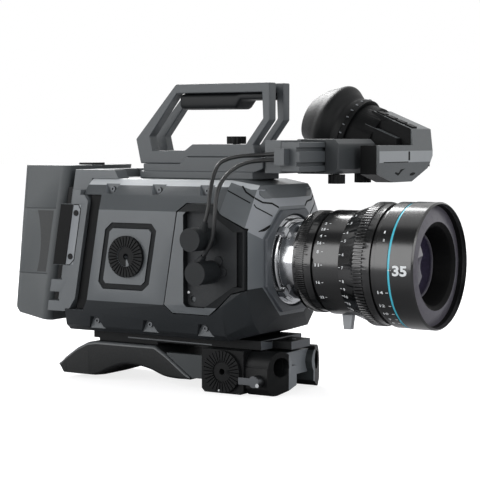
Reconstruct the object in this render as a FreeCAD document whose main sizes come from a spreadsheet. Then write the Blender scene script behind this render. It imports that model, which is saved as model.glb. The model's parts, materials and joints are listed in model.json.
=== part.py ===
"""Digital cinema camera with prime lens, top handle, viewfinder, battery and shoulder base.

Millimetres. +X points forward along the lens, +Y to the camera's left, +Z up.
The origin is the mouth of the base's tripod hole, on the plane the camera rests on.
"""
import FreeCAD
import Part
import Sketcher
import math
import os

SIZES = {
    # Lens axis and mount
    "axis_height": 112.0,
    "flange_x": 37.0,
    "throat_radius": 27.0,
    "seat_radius": 39.2,
    "seat_depth": 6.0,
    "breech_radius": 36.0,
    "breech_bore": 31.0,
    "breech_length": 4.6,
    "breech_tab": 4.0,
    "breech_tabs": 4.0,
    "flange_radius": 38.0,
    # Body sections, from the side faces to roof and keel
    "side_half": 65.0,
    "shoulder_half": 50.0,
    "roof_half": 44.0,
    "belly_half": 55.0,
    "keel_half": 48.0,
    "side_top": 153.5,
    "side_low": 74.0,
    "shoulder_top": 174.5,
    "roof_top": 180.0,
    "belly_low": 50.0,
    "keel_low": 45.0,
    "nose_start": 4.0,
    "nose_corner": 28.5,
    "nose_front": 36.0,
    "corner_top": 140.0,
    "corner_low": 90.5,
    "corner_shoulder": 172.0,
    "corner_shoulder_half": 45.0,
    "corner_roof": 176.0,
    "corner_roof_half": 40.0,
    "corner_belly": 62.0,
    "corner_keel": 52.0,
    "plate_half": 48.5,
    "plate_flat": 20.0,
    "plate_stand": 3.0,
    "plate_inset": 3.0,
    # Lean of the rear of the body, as the edge's place at two heights
    "lean_top_x": -120.0,
    "lean_low_x": -134.0,
    # Shells
    "cover_wall": 3.0,
    "cavity_half": 46.0,
    "cavity_rear": -112.0,
    "cavity_front": 12.0,
    "cavity_low": 62.0,
    "cavity_top": 162.0,
    "seam": 0.4,
    "bezel_seam": 0.9,
    "fit": 0.05,
    # Side cover details
    "notch_first_x": -116.0,
    "notch_pitch": 49.3,
    "notch_width": 18.0,
    "notch_floor": 7.5,
    "notch_height": 8.0,
    "low_notch_first_x": -131.0,
    "low_notch_pitch": 57.0,
    "screw_head": 2.6,
    "screw_head_height": 1.6,
    "screw_shank": 1.3,
    "screw_length": 6.0,
    "square_x": -90.4,
    "square_z": 113.7,
    "square_half_width": 27.0,
    "square_half_height": 29.0,
    "square_corner": 6.0,
    "square_band": 5.0,
    "square_sink": 2.5,
    "rosette_radius": 18.0,
    "rosette_inner": 8.5,
    "rosette_stand": 3.0,
    "rosette_tooth": 1.2,
    "rosette_teeth": 30.0,
    # Connector bezel and panel
    "bezel_top": 160.0,
    "bezel_low": 67.5,
    "bezel_rear_top_x": -38.0,
    "bezel_rear_low_x": -51.5,
    "bezel_corner": 7.0,
    "bezel_front_x": 29.0,
    "bezel_front_low_x": 2.0,
    "bezel_rim": 6.0,
    "panel_depth": 8.0,
    "panel_thickness": 2.0,
    "panel_front_x": 17.5,
    "jack_radius": 4.0,
    "jack_stand": 2.0,
    # Rear frame, ports, battery plate
    "rear_frame_half": 60.0,
    "rear_rib_front": 17.0,
    "ports_top": 157.0,
    "ports_low": 103.5,
    "ports_front": 24.0,
    "ports_sink": 2.0,
    "ports_plate_width": 8.5,
    "plate_half_width": 46.0,
    "plate_top": 172.0,
    "plate_low": 66.0,
    "wedge_height": 60.0,
    "wedge_depth": 6.0,
    # Battery
    "battery_half": 50.0,
    "battery_top": 191.0,
    "battery_round": 8.0,
    # Top cover
    "roof_pad_top": 187.5,
    "roof_pad_rear": -146.0,
    "roof_pad_front": -113.0,
    "roof_pad_inner": 30.0,
    # Top handle
    "grip_half": 14.0,
    "grip_low": 240.0,
    "grip_high": 247.5,
    "grip_step_x": -12.0,
    "handle_base_half": 20.0,
    "handle_base_rear": -105.0,
    "handle_base_front": 19.0,
    "handle_base_low": 186.5,
    "handle_rail_half": 22.0,
    "handle_rail_rear": -107.0,
    "handle_rail_front": 10.0,
    "knob_radius": 8.5,
    "knob_height": 6.5,
    "knob_y": 0.0,
    "knob_shank": 3.0,
    # Viewfinder arm, rail and clamp
    "evf_axis_x": 44.0,
    "evf_axis_z": 199.5,
    "arm_half": 17.0,
    "rail_half": 9.0,
    "rail_half_height": 12.5,
    "rail_slot": 3.0,
    "rail_slot_depth": 3.0,
    "clamp_near": 26.0,
    "clamp_far": 94.0,
    "clamp_half": 22.0,
    "clamp_half_height": 15.0,
    "clamp_chamfer": 4.0,
    "thumb_radius": 7.5,
    "thumb_height": 8.0,
    "thumb_flutes": 12.0,
    "thumb_flute": 1.0,
    "thumb_shank": 2.5,
    # Viewfinder body
    "evf_far": 160.0,
    "evf_upper_near": 120.0,
    "evf_inner_x": 72.6,
    "evf_front_x": 88.0,
    "evf_front_plate": 3.0,
    "evf_roof_fall": 17.5,
    "evf_rear_top": 240.0,
    "evf_rear_x": 48.0,
    "pivot_radius": 9.0,
    "evf_tilt": 20.0,
    "eye_x": 27.4,
    "eye_y": 140.0,
    "eye_z": 217.2,
    "diopter_radius": 34.0,
    "diopter_length": 5.5,
    "tube_radius": 31.0,
    "cup_wall": 4.0,
    "evf_button_length": 8.0,
    "evf_button_width": 10.0,
    "evf_button_pitch": 10.2,
    "evf_button_stand": 1.4,
    "evf_button_sink": 3.0,
    "evf_button_first": 3.4,
    "evf_button_gap": 0.25,
    "evf_button_inset": 5.0,
    # Lens, stations measured forward from the flange
    "lens_rear_radius": 33.0,
    "lens_rear_start": 5.0,
    "iris_start": 23.0,
    "iris_teeth_start": 26.8,
    "iris_teeth_end": 33.8,
    "iris_end": 40.4,
    "iris_radius": 43.0,
    "iris_band_radius": 41.8,
    "iris_tooth_count": 150.0,
    "scale_start": 44.5,
    "barrel_radius": 43.7,
    "groove_radius": 40.0,
    "cone_start": 67.6,
    "focus_teeth_start": 84.0,
    "focus_teeth_end": 92.0,
    "focus_end": 98.5,
    "focus_scale_radius": 44.4,
    "focus_root_radius": 50.0,
    "focus_radius": 51.2,
    "focus_tooth_count": 104.0,
    "bell_start": 104.0,
    "bell_groove_radius": 48.5,
    "bell_radius": 51.6,
    "front_radius": 52.0,
    "front_x": 138.0,
    "front_lip": 1.5,
    "front_cone_radius": 49.0,
    "hood_radius": 36.0,
    "hood_depth": 7.3,
    "hood_rise": 3.5,
    "hood_bore": 32.5,
    "hood_bore_depth": 6.0,
    "glass_seat_radius": 28.0,
    "glass_depth": 21.0,
    "glass_thickness": 9.0,
    "glass_bulge": 4.0,
    "foot_x": 54.0,
    "foot_length": 11.0,
    "foot_width": 5.0,
    "foot_drop": 56.0,
    "foot_toe": 7.0,
    # Base with rods and shoulder pad
    "base_plate_rear": -150.0,
    "base_plate_front": 26.0,
    "base_plate_half": 34.0,
    "base_plate_low": 37.0,
    "pad_half": 40.0,
    "pad_floor_half": 8.0,
    "pad_side_rise": 4.0,
    "block_rear": -26.0,
    "block_front": 16.0,
    "block_half": 46.0,
    "block_corner": 3.0,
    "block_x": -4.5,
    "block_rosette_z": 18.5,
    "tripod_radius": 4.0,
    "tripod_depth": 12.0,
    "thread_depth": 8.0,
    "rod_radius": 7.5,
    "rod_half_spacing": 30.0,
    "rod_z": 23.5,
    "boss_radius": 13.0,
    "clamp_rear_x": 16.0,
    "clamp_front_x": 46.0,
    "clamp_bridge_low": 14.0,
    "clamp_bridge_top": 34.0,
    "clamp_lug_half": 44.0,
    "clamp_slant": 8.0,
    "bore_mouth": 5.7,
    "bore_relief": 0.8,
    "clamp_slant_half": 22.0,
    "foot_floor_out": 38.0,
    "foot_floor_in": 34.0,
    "foot_edge": 6.0,
    "foot_root": 6.5,
    "foot_root_right": 9.0,
    "foot_root_left": 20.0,
    # Monitor on the left side
    "door_rear": -112.0,
    "door_front": 3.4,
    "door_low": 78.0,
    "door_top": 150.0,
    "door_gap": 0.6,
    "door_depth": 17.0,
    "door_corner": 6.0,
    "door_screen_margin": 9.0,
    "door_screen_depth": 2.0,
    "hinge_x": 9.0,
    "hinge_radius": 5.0,
    "record_radius": 5.0,
    "record_x": 21.5,
    "record_z": 128.0,
    "record_stand": 2.0,
    "record_length": 8.0,
    # Inner pieces
    "sensor_width": 44.0,
    "sensor_height": 34.0,
    "sensor_depth": 16.0,
    "board_x": -40.0,
    "board_half": 40.0,
    "board_thickness": 2.0,
    "fan_radius": 24.0,
    "fan_hub": 8.0,
    "fan_depth": 10.0,
    "fan_blades": 7.0,
    # Plugs and cords
    "plug_radius": 9.8,
    "cord_radius": 1.7,
    # Body extras
    "body_back": 26.0,
    "plate_rise": 46.0,
    "corner_keel_half": 40.0,
    "corner_belly_half": 50.0,
    "step_top": 166.0,
    "step_low": 64.0,
    "step_knee": 6.0,
    "cover_reach": 80.0,
    "cover_depth": 9.0,
    "lip_rise": 15.0,
    "lip_drop": 14.0,
    "lip_half": 46.0,
    "notch_screw_z": 171.0,
    "low_notch_screw_z": 55.0,
    "notch_sink": 3.8,
    "low_notch_sink": 4.5,
    "square_lean": 5.0,
    "bezel_toe_x": -8.0,
    "bezel_chin_x": 15.7,
    "bezel_chin": 3.5,
    "bezel_brow_x": 6.0,
    "bezel_brow": 9.0,
    "bezel_head_x": -4.0,
    "bezel_depth": 10.0,
    "plate_back": 24.0,
    "mount_wall": 2.0,
    "breech_bevel": 1.0,
    "breech_tab_width": 9.0,
    "breech_tab_turn": 45.0,
    "record_gap": 0.05,
    "door_sink": 7.0,
    "rosette_bore": 2.6,
    "jack_upper_x": 0.0,
    "jack_upper_z": 113.0,
    "jack_lower_x": 4.0,
    "jack_lower_z": 104.0,
    "ear_x": -26.0,
    "ear_z": 80.0,
    "ear_radius": 2.5,
    "roof_cover_half": 46.0,
    "roof_cover_low": 172.5,
    # Rear frame, port covers, battery plate
    "rear_low": 62.0,
    "rear_top": 170.0,
    "rear_back": 46.0,
    "rear_flank": 34.5,
    "flank_bump_low": 79.0,
    "flank_bump_top": 90.0,
    "flank_hook": 71.0,
    "rear_clear": 26.4,
    "rib_knee": 22.0,
    "rib_knee_low": 74.0,
    "rib_knee_top": 160.0,
    "channel_half": 56.0,
    "tower_half": 46.0,
    "tower_root": 165.0,
    "tower_slope": 4.0,
    "ports_stand": 0.6,
    "ports_screw_inset": 7.5,
    "plate_sheet": 5.0,
    "wedge_half": 20.0,
    "battery_gap": 0.3,
    "battery_depth_top": 52.0,
    "battery_depth_low": 43.0,
    "battery_bottom": 51.0,
    "battery_toe": 57.0,
    "battery_heel": 65.0,
    "battery_toe_back": 8.0,
    "band_top": 152.0,
    "band_low": 93.0,
    "band_width": 1.0,
    "band_depth": 1.0,
    "latch_rear": -185.0,
    "latch_front": -169.0,
    "latch_half": 9.0,
    "latch_sink": 5.0,
    "latch_stand": 2.0,
    "latch_travel": 2.0,
    # Monitor hinge and record button
    "door_bevel": 2.0,
    "hinge_stand": 1.0,
    "hinge_pin": 2.0,
    "hinge_knuckle": 12.0,
    "hinge_plate_sink": 4.1,
    "hinge_plate_rear": 6.5,
    "record_travel": 1.2,
    # Top handle outline
    "handle_near_out": 17.0,
    "handle_near_in": 6.0,
    "handle_far_in": 7.0,
    "handle_far_out": 17.0,
    "handle_top": 262.2,
    "grip_top": 254.1,
    "handle_rear_x": -72.0,
    "handle_front_x": 23.5,
    "front_knee_z": 230.4,
    "handle_toe_x": 7.4,
    "handle_toe_z": 209.5,
    "handle_sole_x": 10.0,
    "handle_sole_z": 199.0,
    "handle_step_x": -60.0,
    "handle_heel_step_x": -66.0,
    "handle_heel_z": 193.0,
    "handle_heel_x": -110.0,
    "handle_knee_x": -115.0,
    "handle_knee_z": 214.5,
    "inner_front_x": 16.0,
    "inner_knee_x": 17.0,
    "inner_knee_z": 232.0,
    "inner_toe_x": 4.0,
    "inner_toe_z": 215.4,
    "inner_sole_x": 0.0,
    "inner_sole_z": 210.0,
    "inner_step_x": -55.0,
    "inner_heel_step_x": -63.0,
    "inner_heel_z": 204.4,
    "inner_heel_x": -97.0,
    "inner_rear_x": -100.0,
    "inner_rear_z": 217.0,
    "grip_rear_x": -70.0,
    "grip_front_x": 15.5,
    "grip_slope": 4.0,
    "spine_half": 5.9,
    "base_toe_x": 12.0,
    "base_nose_z": 189.5,
    "base_spine_top": 203.0,
    "knob_x": -20.0,
    "knob_gap": 0.3,
    # Viewfinder extras
    "arm_low": 185.5,
    "arm_top": 213.5,
    "rail_rear": 35.0,
    "rail_end": 80.0,
    "clamp_wall": 2.5,
    "journal_end": 116.0,
    "journal_fit": 0.05,
    "cheek_near": 98.0,
    "cheek_radius": 12.0,
    "evf_near": 54.0,
    "evf_hex_side": 184.0,
    "evf_hex_near": 83.0,
    "evf_hex_low": 176.5,
    "evf_hex_far": 122.0,
    "evf_hex_far_y": 151.0,
    "evf_hex_far_z": 188.0,
    "evf_shelf": 209.0,
    "evf_back_x": 46.0,
    "evf_ridge": 10.0,
    "tube_start": -24.0,
    "tube_crown_x": 50.0,
    "evf_wedge_near": 112.0,
    "evf_wedge_front": 78.0,
    "evf_wedge_drop": 12.6,
    "evf_band_low": 194.0,
    "evf_band_top": 204.0,
    "evf_facet_back": 2.2,
    "eyepiece_radius": 18.0,
    "eyepiece_depth": 4.0,
    "cup_end_radius": 21.7,
    "thumb_near_y": 38.0,
    "thumb_far_y": 86.0,
    "thumb_x": 58.0,
    "thumb_gap": 0.4,
    # Lens extras
    "lens_flange_radius": 30.8,
    "lens_tube_radius": 24.9,
    "lens_tube": 22.0,
    "lens_bore": 20.0,
    "ring_bore": 36.0,
    "ring_gap": 0.3,
    "tooth_depth": 1.2,
    "accent_start": 115.4,
    "accent_end": 117.6,
    "accent_depth": 0.5,
    # Base extras
    "pad_tip_x": -185.2,
    "pad_tip_z": 11.6,
    "pad_heel_x": -181.4,
    "pad_heel_z": 4.5,
    "pad_lobe_x": -166.0,
    "pad_lobe_front": -156.0,
    "pad_arch_rear": -112.8,
    "pad_arch_front": -98.2,
    "pad_arch_z": 15.7,
    "pad_toe_rear": -70.4,
    "pad_toe_x": -57.7,
    "pad_toe_z": 7.2,
    "pad_end_x": -42.1,
    "pad_end_z": 9.3,
    "pad_crown_rear": -143.7,
    "pad_crown_z": 34.5,
    "pad_crown_front": -79.9,
    "pad_dip_x": -68.2,
    "pad_dip_z": 27.8,
    "arm_block_top": 29.5,
    "arm_out": 39.0,
    "arm_in": 33.0,
    "arm_gap": 1.0,
    "bracket_front": 45.0,
    "bracket_half": 16.0,
    "bracket_low": 37.0,
    "bracket_top": 44.0,
    "lever_x": 30.0,
    "lever_z": 13.0,
    "lever_radius": 5.0,
    "lever_stand": 9.0,
    "lever_arm": 15.0,
    "lever_half": 3.0,
    # Plugs, glands and inner pieces
    "plug_upper_x": -10.0,
    "plug_upper_z": 131.8,
    "plug_lower_x": -5.0,
    "plug_lower_z": 104.1,
    "plug_stand": 23.0,
    "plug_neck_radius": 4.8,
    "plug_sink": 1.0,
    "boot_root": 5.0,
    "boot_end": 2.4,
    "boot_length": 11.0,
    "boot_sink": 3.0,
    "gland_x": 33.5,
    "gland_front": 43.0,
    "gland_out": 26.0,
    "gland_low": 192.5,
    "gland_top": 206.5,
    "gland_boot": 3.2,
    "sensor_plate": 6.0,
    "sensor_half_width": 32.0,
    "sensor_half_height": 28.0,
    "shaft_radius": 1.5,
    "fan_gap": 4.0,
    "fan_blade_half": 0.8,
}

DOC = FreeCAD.newDocument("cinema_camera")
SHEET = DOC.addObject("Spreadsheet::Sheet", "Sizes")


class Dim:
    """A size that is a number in this file and an expression in the document."""

    def __init__(self, value, text=None):
        self.value = float(value)
        self.text = text if text is not None else f"({self.value!r})"

    def join(self, other, sign, value):
        return Dim(value, f"({self.text} {sign} {dim(other).text})")

    def __add__(self, other):
        return self.join(other, "+", self.value + number(other))

    def __sub__(self, other):
        return self.join(other, "-", self.value - number(other))

    def __mul__(self, other):
        return self.join(other, "*", self.value * number(other))

    def __truediv__(self, other):
        return self.join(other, "/", self.value / number(other))

    def __radd__(self, other):
        return dim(other) + self

    def __rsub__(self, other):
        return dim(other) - self

    def __rmul__(self, other):
        return dim(other) * self

    def __neg__(self):
        return Dim(-self.value, f"(-1 * {self.text})")


def dim(value):
    """The size itself, or a plain number made into one."""
    return value if isinstance(value, Dim) else Dim(value)


def number(value):
    """The plain number of a size."""
    return value.value if isinstance(value, Dim) else float(value)


class Table:
    """Gives each size of the sheet by its name."""

    def __getattr__(self, name):
        return Dim(SIZES[name], f"Sizes.{name}")


S = Table()


def fill_sheet():
    """Write each size into its own row, with its name as the cell's alias."""
    for row, (name, value) in enumerate(SIZES.items(), start=1):
        SHEET.set(f"A{row}", name)
        SHEET.set(f"B{row}", repr(value))
        SHEET.setAlias(f"B{row}", name)
    DOC.recompute()


def bind(thing, prop, value):
    """Tie a property of a document object to an expression of the sheet."""
    thing.setExpression(prop, dim(value).text)


PLANES = {
    "XY": ("XY_Plane", FreeCAD.Rotation(0, 0, 0)),
    "XZ": ("XZ_Plane", FreeCAD.Rotation(0, 0, 90)),
    "YZ": ("YZ_Plane", FreeCAD.Rotation(90, 0, 90)),
}


class Circle:
    """A round outline: centre and radius."""

    def __init__(self, across, up, radius):
        self.across, self.up, self.radius = across, up, radius


def draw(sketch, outlines):
    """Draw closed outlines, every corner and radius tied to the sheet."""
    for outline in outlines:
        first = sketch.GeometryCount
        if isinstance(outline, Circle):
            draw_circle(sketch, first, outline)
        else:
            draw_polygon(sketch, first, outline)


def draw_circle(sketch, index, circle):
    """One circle with its centre and radius as constraints."""
    centre = FreeCAD.Vector(number(circle.across), number(circle.up), 0)
    sketch.addGeometry(Part.Circle(centre, FreeCAD.Vector(0, 0, 1), number(circle.radius)))
    pin_point(sketch, index, 3, (circle.across, circle.up))
    mark = sketch.addConstraint(Sketcher.Constraint("Radius", index, number(circle.radius)))
    bind(sketch, f"Constraints[{mark}]", circle.radius)


def draw_polygon(sketch, first, points):
    """Straight edges through the points, each point pinned to the origin."""
    spots = [FreeCAD.Vector(number(a), number(b), 0) for a, b in points]
    count = len(spots)
    for i in range(count):
        sketch.addGeometry(Part.LineSegment(spots[i], spots[(i + 1) % count]))
    for i in range(count):
        after = first + (i + 1) % count
        sketch.addConstraint(Sketcher.Constraint("Coincident", first + i, 2, after, 1))
    for i, point in enumerate(points):
        pin_point(sketch, first + i, 1, point)


def pin_point(sketch, index, end, point):
    """Hold one point at its two distances from the sketch's origin."""
    for kind, value in zip(("DistanceX", "DistanceY"), point):
        rule = Sketcher.Constraint(kind, -1, 1, index, end, number(value))
        mark = sketch.addConstraint(rule)
        bind(sketch, f"Constraints[{mark}]", value)


class Piece:
    """One machined or moulded piece as a PartDesign body."""

    def __init__(self, label, at=None, turn=None):
        self.body = DOC.addObject("PartDesign::Body", label)
        self.body.Label = label
        self.count = 0
        place(self.body, at, turn)

    def plane(self, name):
        """The body's own origin plane or axis with this role."""
        return next(f for f in self.body.Origin.OriginFeatures if f.Role == name)

    def sketch(self, plane, outlines, offset=0.0):
        """A sketch on one of the body's planes, moved along the plane's normal."""
        self.count += 1
        sketch = self.body.newObject("Sketcher::SketchObject", f"{self.body.Name}_sketch_{self.count}")
        sketch.AttachmentSupport = (self.plane(PLANES[plane][0]), [""])
        sketch.MapMode = "FlatFace"
        bind(sketch, "AttachmentOffset.Base.z", offset)
        draw(sketch, outlines)
        return sketch

    def add(self, kind, name):
        """A new feature of this kind in the body."""
        self.count += 1
        return self.body.newObject(f"PartDesign::{kind}", f"{self.body.Name}_{name}_{self.count}")

    def pad(self, plane, outlines, start, end):
        """Material between two distances along X, Y or Z."""
        # The XZ plane's normal is -Y, so a pad there starts at the high end.
        offset = -dim(end) if plane == "XZ" else start
        feature = self.add("Pad", "pad")
        feature.Profile = self.sketch(plane, outlines, offset)
        bind(feature, "Length", dim(end) - start)
        return self.done(feature, 1)

    def pocket(self, plane, outlines, start, end):
        """A cut between two distances along X, Y or Z."""
        # A pocket cuts against its plane's normal.
        offset = -dim(start) if plane == "XZ" else end
        feature = self.add("Pocket", "pocket")
        feature.Profile = self.sketch(plane, outlines, offset)
        bind(feature, "Length", dim(end) - start)
        return self.done(feature, -1)

    def revolve(self, plane, outlines, axis="H_Axis"):
        """Material turned once round the sketch's level or upright axis."""
        feature = self.add("Revolution", "turned")
        sketch = self.sketch(plane, outlines)
        feature.Profile = sketch
        feature.ReferenceAxis = (sketch, [axis])
        feature.Angle = 360
        return self.done(feature, 1)

    def groove(self, plane, outlines, axis="H_Axis"):
        """A cut turned once round the sketch's level or upright axis."""
        feature = self.add("Groove", "groove")
        sketch = self.sketch(plane, outlines)
        feature.Profile = sketch
        feature.ReferenceAxis = (sketch, [axis])
        feature.Angle = 360
        return self.done(feature, -1)

    def round_pattern(self, original, axis, times):
        """Copies of a feature spread evenly round one of the body's axes."""
        pattern = self.add("PolarPattern", "ring")
        pattern.Originals = [original]
        pattern.Axis = (self.plane(axis), [""])
        pattern.Angle = 360
        bind(pattern, "Occurrences", times)
        self.body.Tip = pattern
        return self.done(pattern, 0)

    def ease(self, kind, size, wanted):
        """A fillet or chamfer of this size on the edges that pass the test."""
        base = self.body.Tip
        names = [f"Edge{i + 1}" for i, edge in enumerate(base.Shape.Edges) if wanted(edge)]
        feature = self.add(kind, "eased")
        feature.Base = (base, names)
        bind(feature, "Radius" if kind == "Fillet" else "Size", size)
        return self.done(feature, 0)

    def done(self, feature, change):
        """Recompute, and see that a pad added and a pocket took away."""
        before = self.volume()
        self.body.Tip = feature
        DOC.recompute()
        after = self.volume()
        if change * (after - before) < 0 or (change and after == before):
            raise ValueError(f"{feature.Name} changed the volume from {before} to {after}")
        return feature

    def volume(self):
        """The volume after the last feature, nought before the first."""
        shape = self.body.Shape
        return 0.0 if shape.isNull() else shape.Volume


def place(thing, at, turn=None):
    """Set a piece down at its seat, turned about one axis by an angle in degrees."""
    if turn is not None:
        axis, angle = turn
        thing.Placement.Rotation = FreeCAD.Rotation(FreeCAD.Vector(*axis), number(angle))
        bind(thing, "Placement.Rotation.Angle", angle)
    if at is not None:
        for letter, value in zip("xyz", at):
            bind(thing, f"Placement.Base.{letter}", value)


def prism(name, plane, outlines, start, end):
    """A straight block of an outline between two distances along X, Y or Z."""
    sketch = DOC.addObject("Sketcher::SketchObject", f"{name}_outline")
    sketch.Placement = FreeCAD.Placement(FreeCAD.Vector(), PLANES[plane][1])
    draw(sketch, outlines)
    block = DOC.addObject("Part::Extrusion", name)
    block.Base = sketch
    block.DirMode = "Normal"
    block.Solid = True
    low, high = (-dim(end), -dim(start)) if plane == "XZ" else (dim(start), dim(end))
    bind(block, "LengthFwd", high)
    bind(block, "LengthRev", -low)
    return block


def box(name, x0, x1, y0, y1, z0, z1):
    """A plain box between its low and high corners."""
    block = DOC.addObject("Part::Box", name)
    bind(block, "Length", dim(x1) - x0)
    bind(block, "Width", dim(y1) - y0)
    bind(block, "Height", dim(z1) - z0)
    place(block, (x0, y0, z0))
    return block


def rod(name, axis, at, radius, length):
    """A plain cylinder that starts at a point and runs along X, Y or Z."""
    cylinder = DOC.addObject("Part::Cylinder", name)
    bind(cylinder, "Radius", radius)
    bind(cylinder, "Height", length)
    turns = {"X": (0, 1, 0, 90), "Y": (1, 0, 0, -90), "Z": (0, 0, 1, 0)}
    x, y, z, angle = turns[axis]
    cylinder.Placement.Rotation = FreeCAD.Rotation(FreeCAD.Vector(x, y, z), angle)
    for letter, value in zip("xyz", at):
        bind(cylinder, f"Placement.Base.{letter}", value)
    return cylinder


def loft(name, plane, sections):
    """Flat-faced transition through outlines, each with its distance along the normal."""
    sketches = []
    for i, (distance, outline) in enumerate(sections):
        sketch = DOC.addObject("Sketcher::SketchObject", f"{name}_section_{i + 1}")
        sketch.Placement = FreeCAD.Placement(FreeCAD.Vector(), PLANES[plane][1])
        bind(sketch, f"Placement.Base.{'x' if plane == 'YZ' else 'z'}", distance)
        draw(sketch, [outline])
        sketches.append(sketch)
    body = DOC.addObject("Part::Loft", name)
    body.Sections = sketches
    body.Solid = True
    body.Ruled = True
    return body


def combine(kind, label, things):
    """Fuse or intersect several shapes."""
    result = DOC.addObject(f"Part::{kind}", label)
    result.Label = label
    result.Shapes = [getattr(t, "body", t) for t in things]
    return result


def cut(label, base, tools):
    """A base with one or more tools taken away."""
    result = DOC.addObject("Part::Cut", label)
    result.Label = label
    result.Base = getattr(base, "body", base)
    tools = [getattr(t, "body", t) for t in tools]
    result.Tool = tools[0] if len(tools) == 1 else combine("MultiFuse", f"{label}_tools", tools)
    return result


def group(label, things):
    """Several like solids that share one file."""
    result = DOC.addObject("Part::Compound", label)
    result.Label = label
    result.Links = [getattr(t, "body", t) for t in things]
    return result


def lean(height, back=0.0):
    """X of the leaning rear edge at a height, moved back by a distance."""
    slope = (S.lean_top_x - S.lean_low_x) / (S.side_top - S.side_low)
    return S.lean_top_x + (dim(height) - S.side_top) * slope - back


def inside(depth):
    """Distance from the middle plane of a face that lies a depth inside the side faces."""
    return S.side_half - depth


def notch_plane(top):
    """Distance from the middle plane of the notches' floors in the upper or lower chamfer."""
    if top:
        share = (S.notch_screw_z - S.side_top) / (S.shoulder_top - S.side_top)
        return S.side_half - (S.side_half - S.shoulder_half) * share - S.notch_sink
    share = (S.side_low - S.low_notch_screw_z) / (S.side_low - S.belly_low)
    return S.side_half - (S.side_half - S.belly_half) * share - S.low_notch_sink


def mirrored_polygon(points):
    """A closed outline from its right half, which runs from bottom to top."""
    left = [(-dim(a), b) for a, b in reversed(points)]
    return points + left


# Camera body


def body_section():
    """Right half of the body's section, from keel to roof."""
    return [
        (S.keel_half, S.keel_low),
        (S.belly_half, S.belly_low),
        (S.side_half, S.side_low),
        (S.side_half, S.side_top),
        (S.shoulder_half, S.shoulder_top),
        (S.roof_half, S.roof_top),
    ]


def corner_section():
    """Right half of the section where the side faces turn in to the nose."""
    return [
        (S.corner_keel_half, S.corner_keel),
        (S.corner_belly_half, S.corner_belly),
        (S.side_half, S.corner_low),
        (S.side_half, S.corner_top),
        (S.corner_shoulder_half, S.corner_shoulder),
        (S.corner_roof_half, S.corner_roof),
    ]


def octagon(inset=0.0):
    """Right half of the eight-sided front, with a point halfway along each slanted edge."""
    half, flat = S.plate_half - inset, S.plate_flat
    low, high = S.axis_height - S.plate_rise + inset, S.axis_height + S.plate_rise - inset
    middle = (half + flat) / 2
    return [
        (flat, low),
        (middle, (low + S.axis_height - flat) / 2),
        (half, S.axis_height - flat),
        (half, S.axis_height + flat),
        (middle, (high + S.axis_height + flat) / 2),
        (flat, high),
    ]


def body_envelope(label):
    """Outer form of the body: a straight section that narrows to the eight-sided nose."""
    back = lean(S.keel_low, S.body_back)
    return loft(label, "YZ", [
        (back, mirrored_polygon(body_section())),
        (S.nose_start, mirrored_polygon(body_section())),
        (S.nose_corner, mirrored_polygon(corner_section())),
        (S.nose_front, mirrored_polygon(octagon())),
    ])


def body_profile():
    """Side outline of the body with the leaning rear, stepped for the rear frame."""
    front = S.nose_front
    return [
        (lean(S.keel_low, S.body_back), S.keel_low),
        (front, S.keel_low),
        (front, S.roof_top),
        (lean(S.roof_top, S.body_back), S.roof_top),
        (lean(S.step_top, S.body_back), S.step_top),
        (lean(S.step_top, S.step_knee), S.step_top),
        (lean(S.side_top), S.side_top),
        (lean(S.side_low), S.side_low),
        (lean(S.step_low, S.step_knee), S.step_low),
        (lean(S.step_low, S.body_back), S.step_low),
    ]


def side_region(name, side):
    """Space of one side cover: a slab with lips over the shoulder and under the belly."""
    front = S.nose_start
    low, high = S.keel_low, S.roof_top
    lip_low, lip_high = low + S.lip_rise, high - S.lip_drop
    rear = lean(low, S.body_back)

    def slab(part, inner, z0, z1):
        near, far = (-S.cover_reach, -dim(inner)) if side < 0 else (dim(inner), S.cover_reach)
        return box(f"{name}_{part}", rear, front, near, far, z0, z1)

    return combine("MultiFuse", name, [
        slab("slab", inside(S.cover_depth), lip_low, lip_high),
        slab("upper_lip", S.lip_half, lip_high, high),
        slab("lower_lip", S.lip_half, low, lip_low),
    ])


def notch_places():
    """X and Z of the side screws: three under the roof edge, three at the belly."""
    upper = [(S.notch_first_x + S.notch_pitch * i, S.notch_screw_z) for i in range(3)]
    lower = [(S.low_notch_first_x + S.low_notch_pitch * i, S.low_notch_screw_z) for i in range(3)]
    return upper, lower


def notch_cutters(name, side):
    """Three-cornered pockets in both chamfers, with an upright floor for each screw."""
    upper, lower = notch_places()
    tools = []
    for i, (x, z) in enumerate(upper + lower):
        top = i < len(upper)
        wide, small = S.notch_width / 2, S.notch_floor / 2
        edge = z + S.notch_height if top else z - S.notch_height
        inner = z - S.notch_height / 2 if top else z + S.notch_height / 2
        outline = [(x - wide, edge), (x - small, inner), (x + small, inner), (x + wide, edge)]
        floor = notch_plane(top)
        start, end = (-S.cover_reach, -floor) if side < 0 else (floor, S.cover_reach)
        tools.append(prism(f"{name}_{i + 1}", "XZ", [outline], start, end))
    return tools


def screw_holes(name, side, radius):
    """Round holes for the side screws."""
    upper, lower = notch_places()
    holes = []
    for i, (x, z) in enumerate(upper + lower):
        floor = notch_plane(i < len(upper))
        y = -floor if side < 0 else floor - S.screw_length
        holes.append(rod(f"{name}_{i + 1}", "Y", (x, y, z), radius, S.screw_length))
    return holes


def cover_screws():
    """Twelve pan-head screws that hold the two side covers."""
    screws = []
    for side, hand in ((-1, "right"), (1, "left")):
        upper, lower = notch_places()
        for i, (x, z) in enumerate(upper + lower):
            floor = notch_plane(i < len(upper))
            screws.append(screw(f"{hand}_cover_screw_{i + 1}", (x, floor * side, z), side))
    return group("cover_screws", screws)


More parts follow.
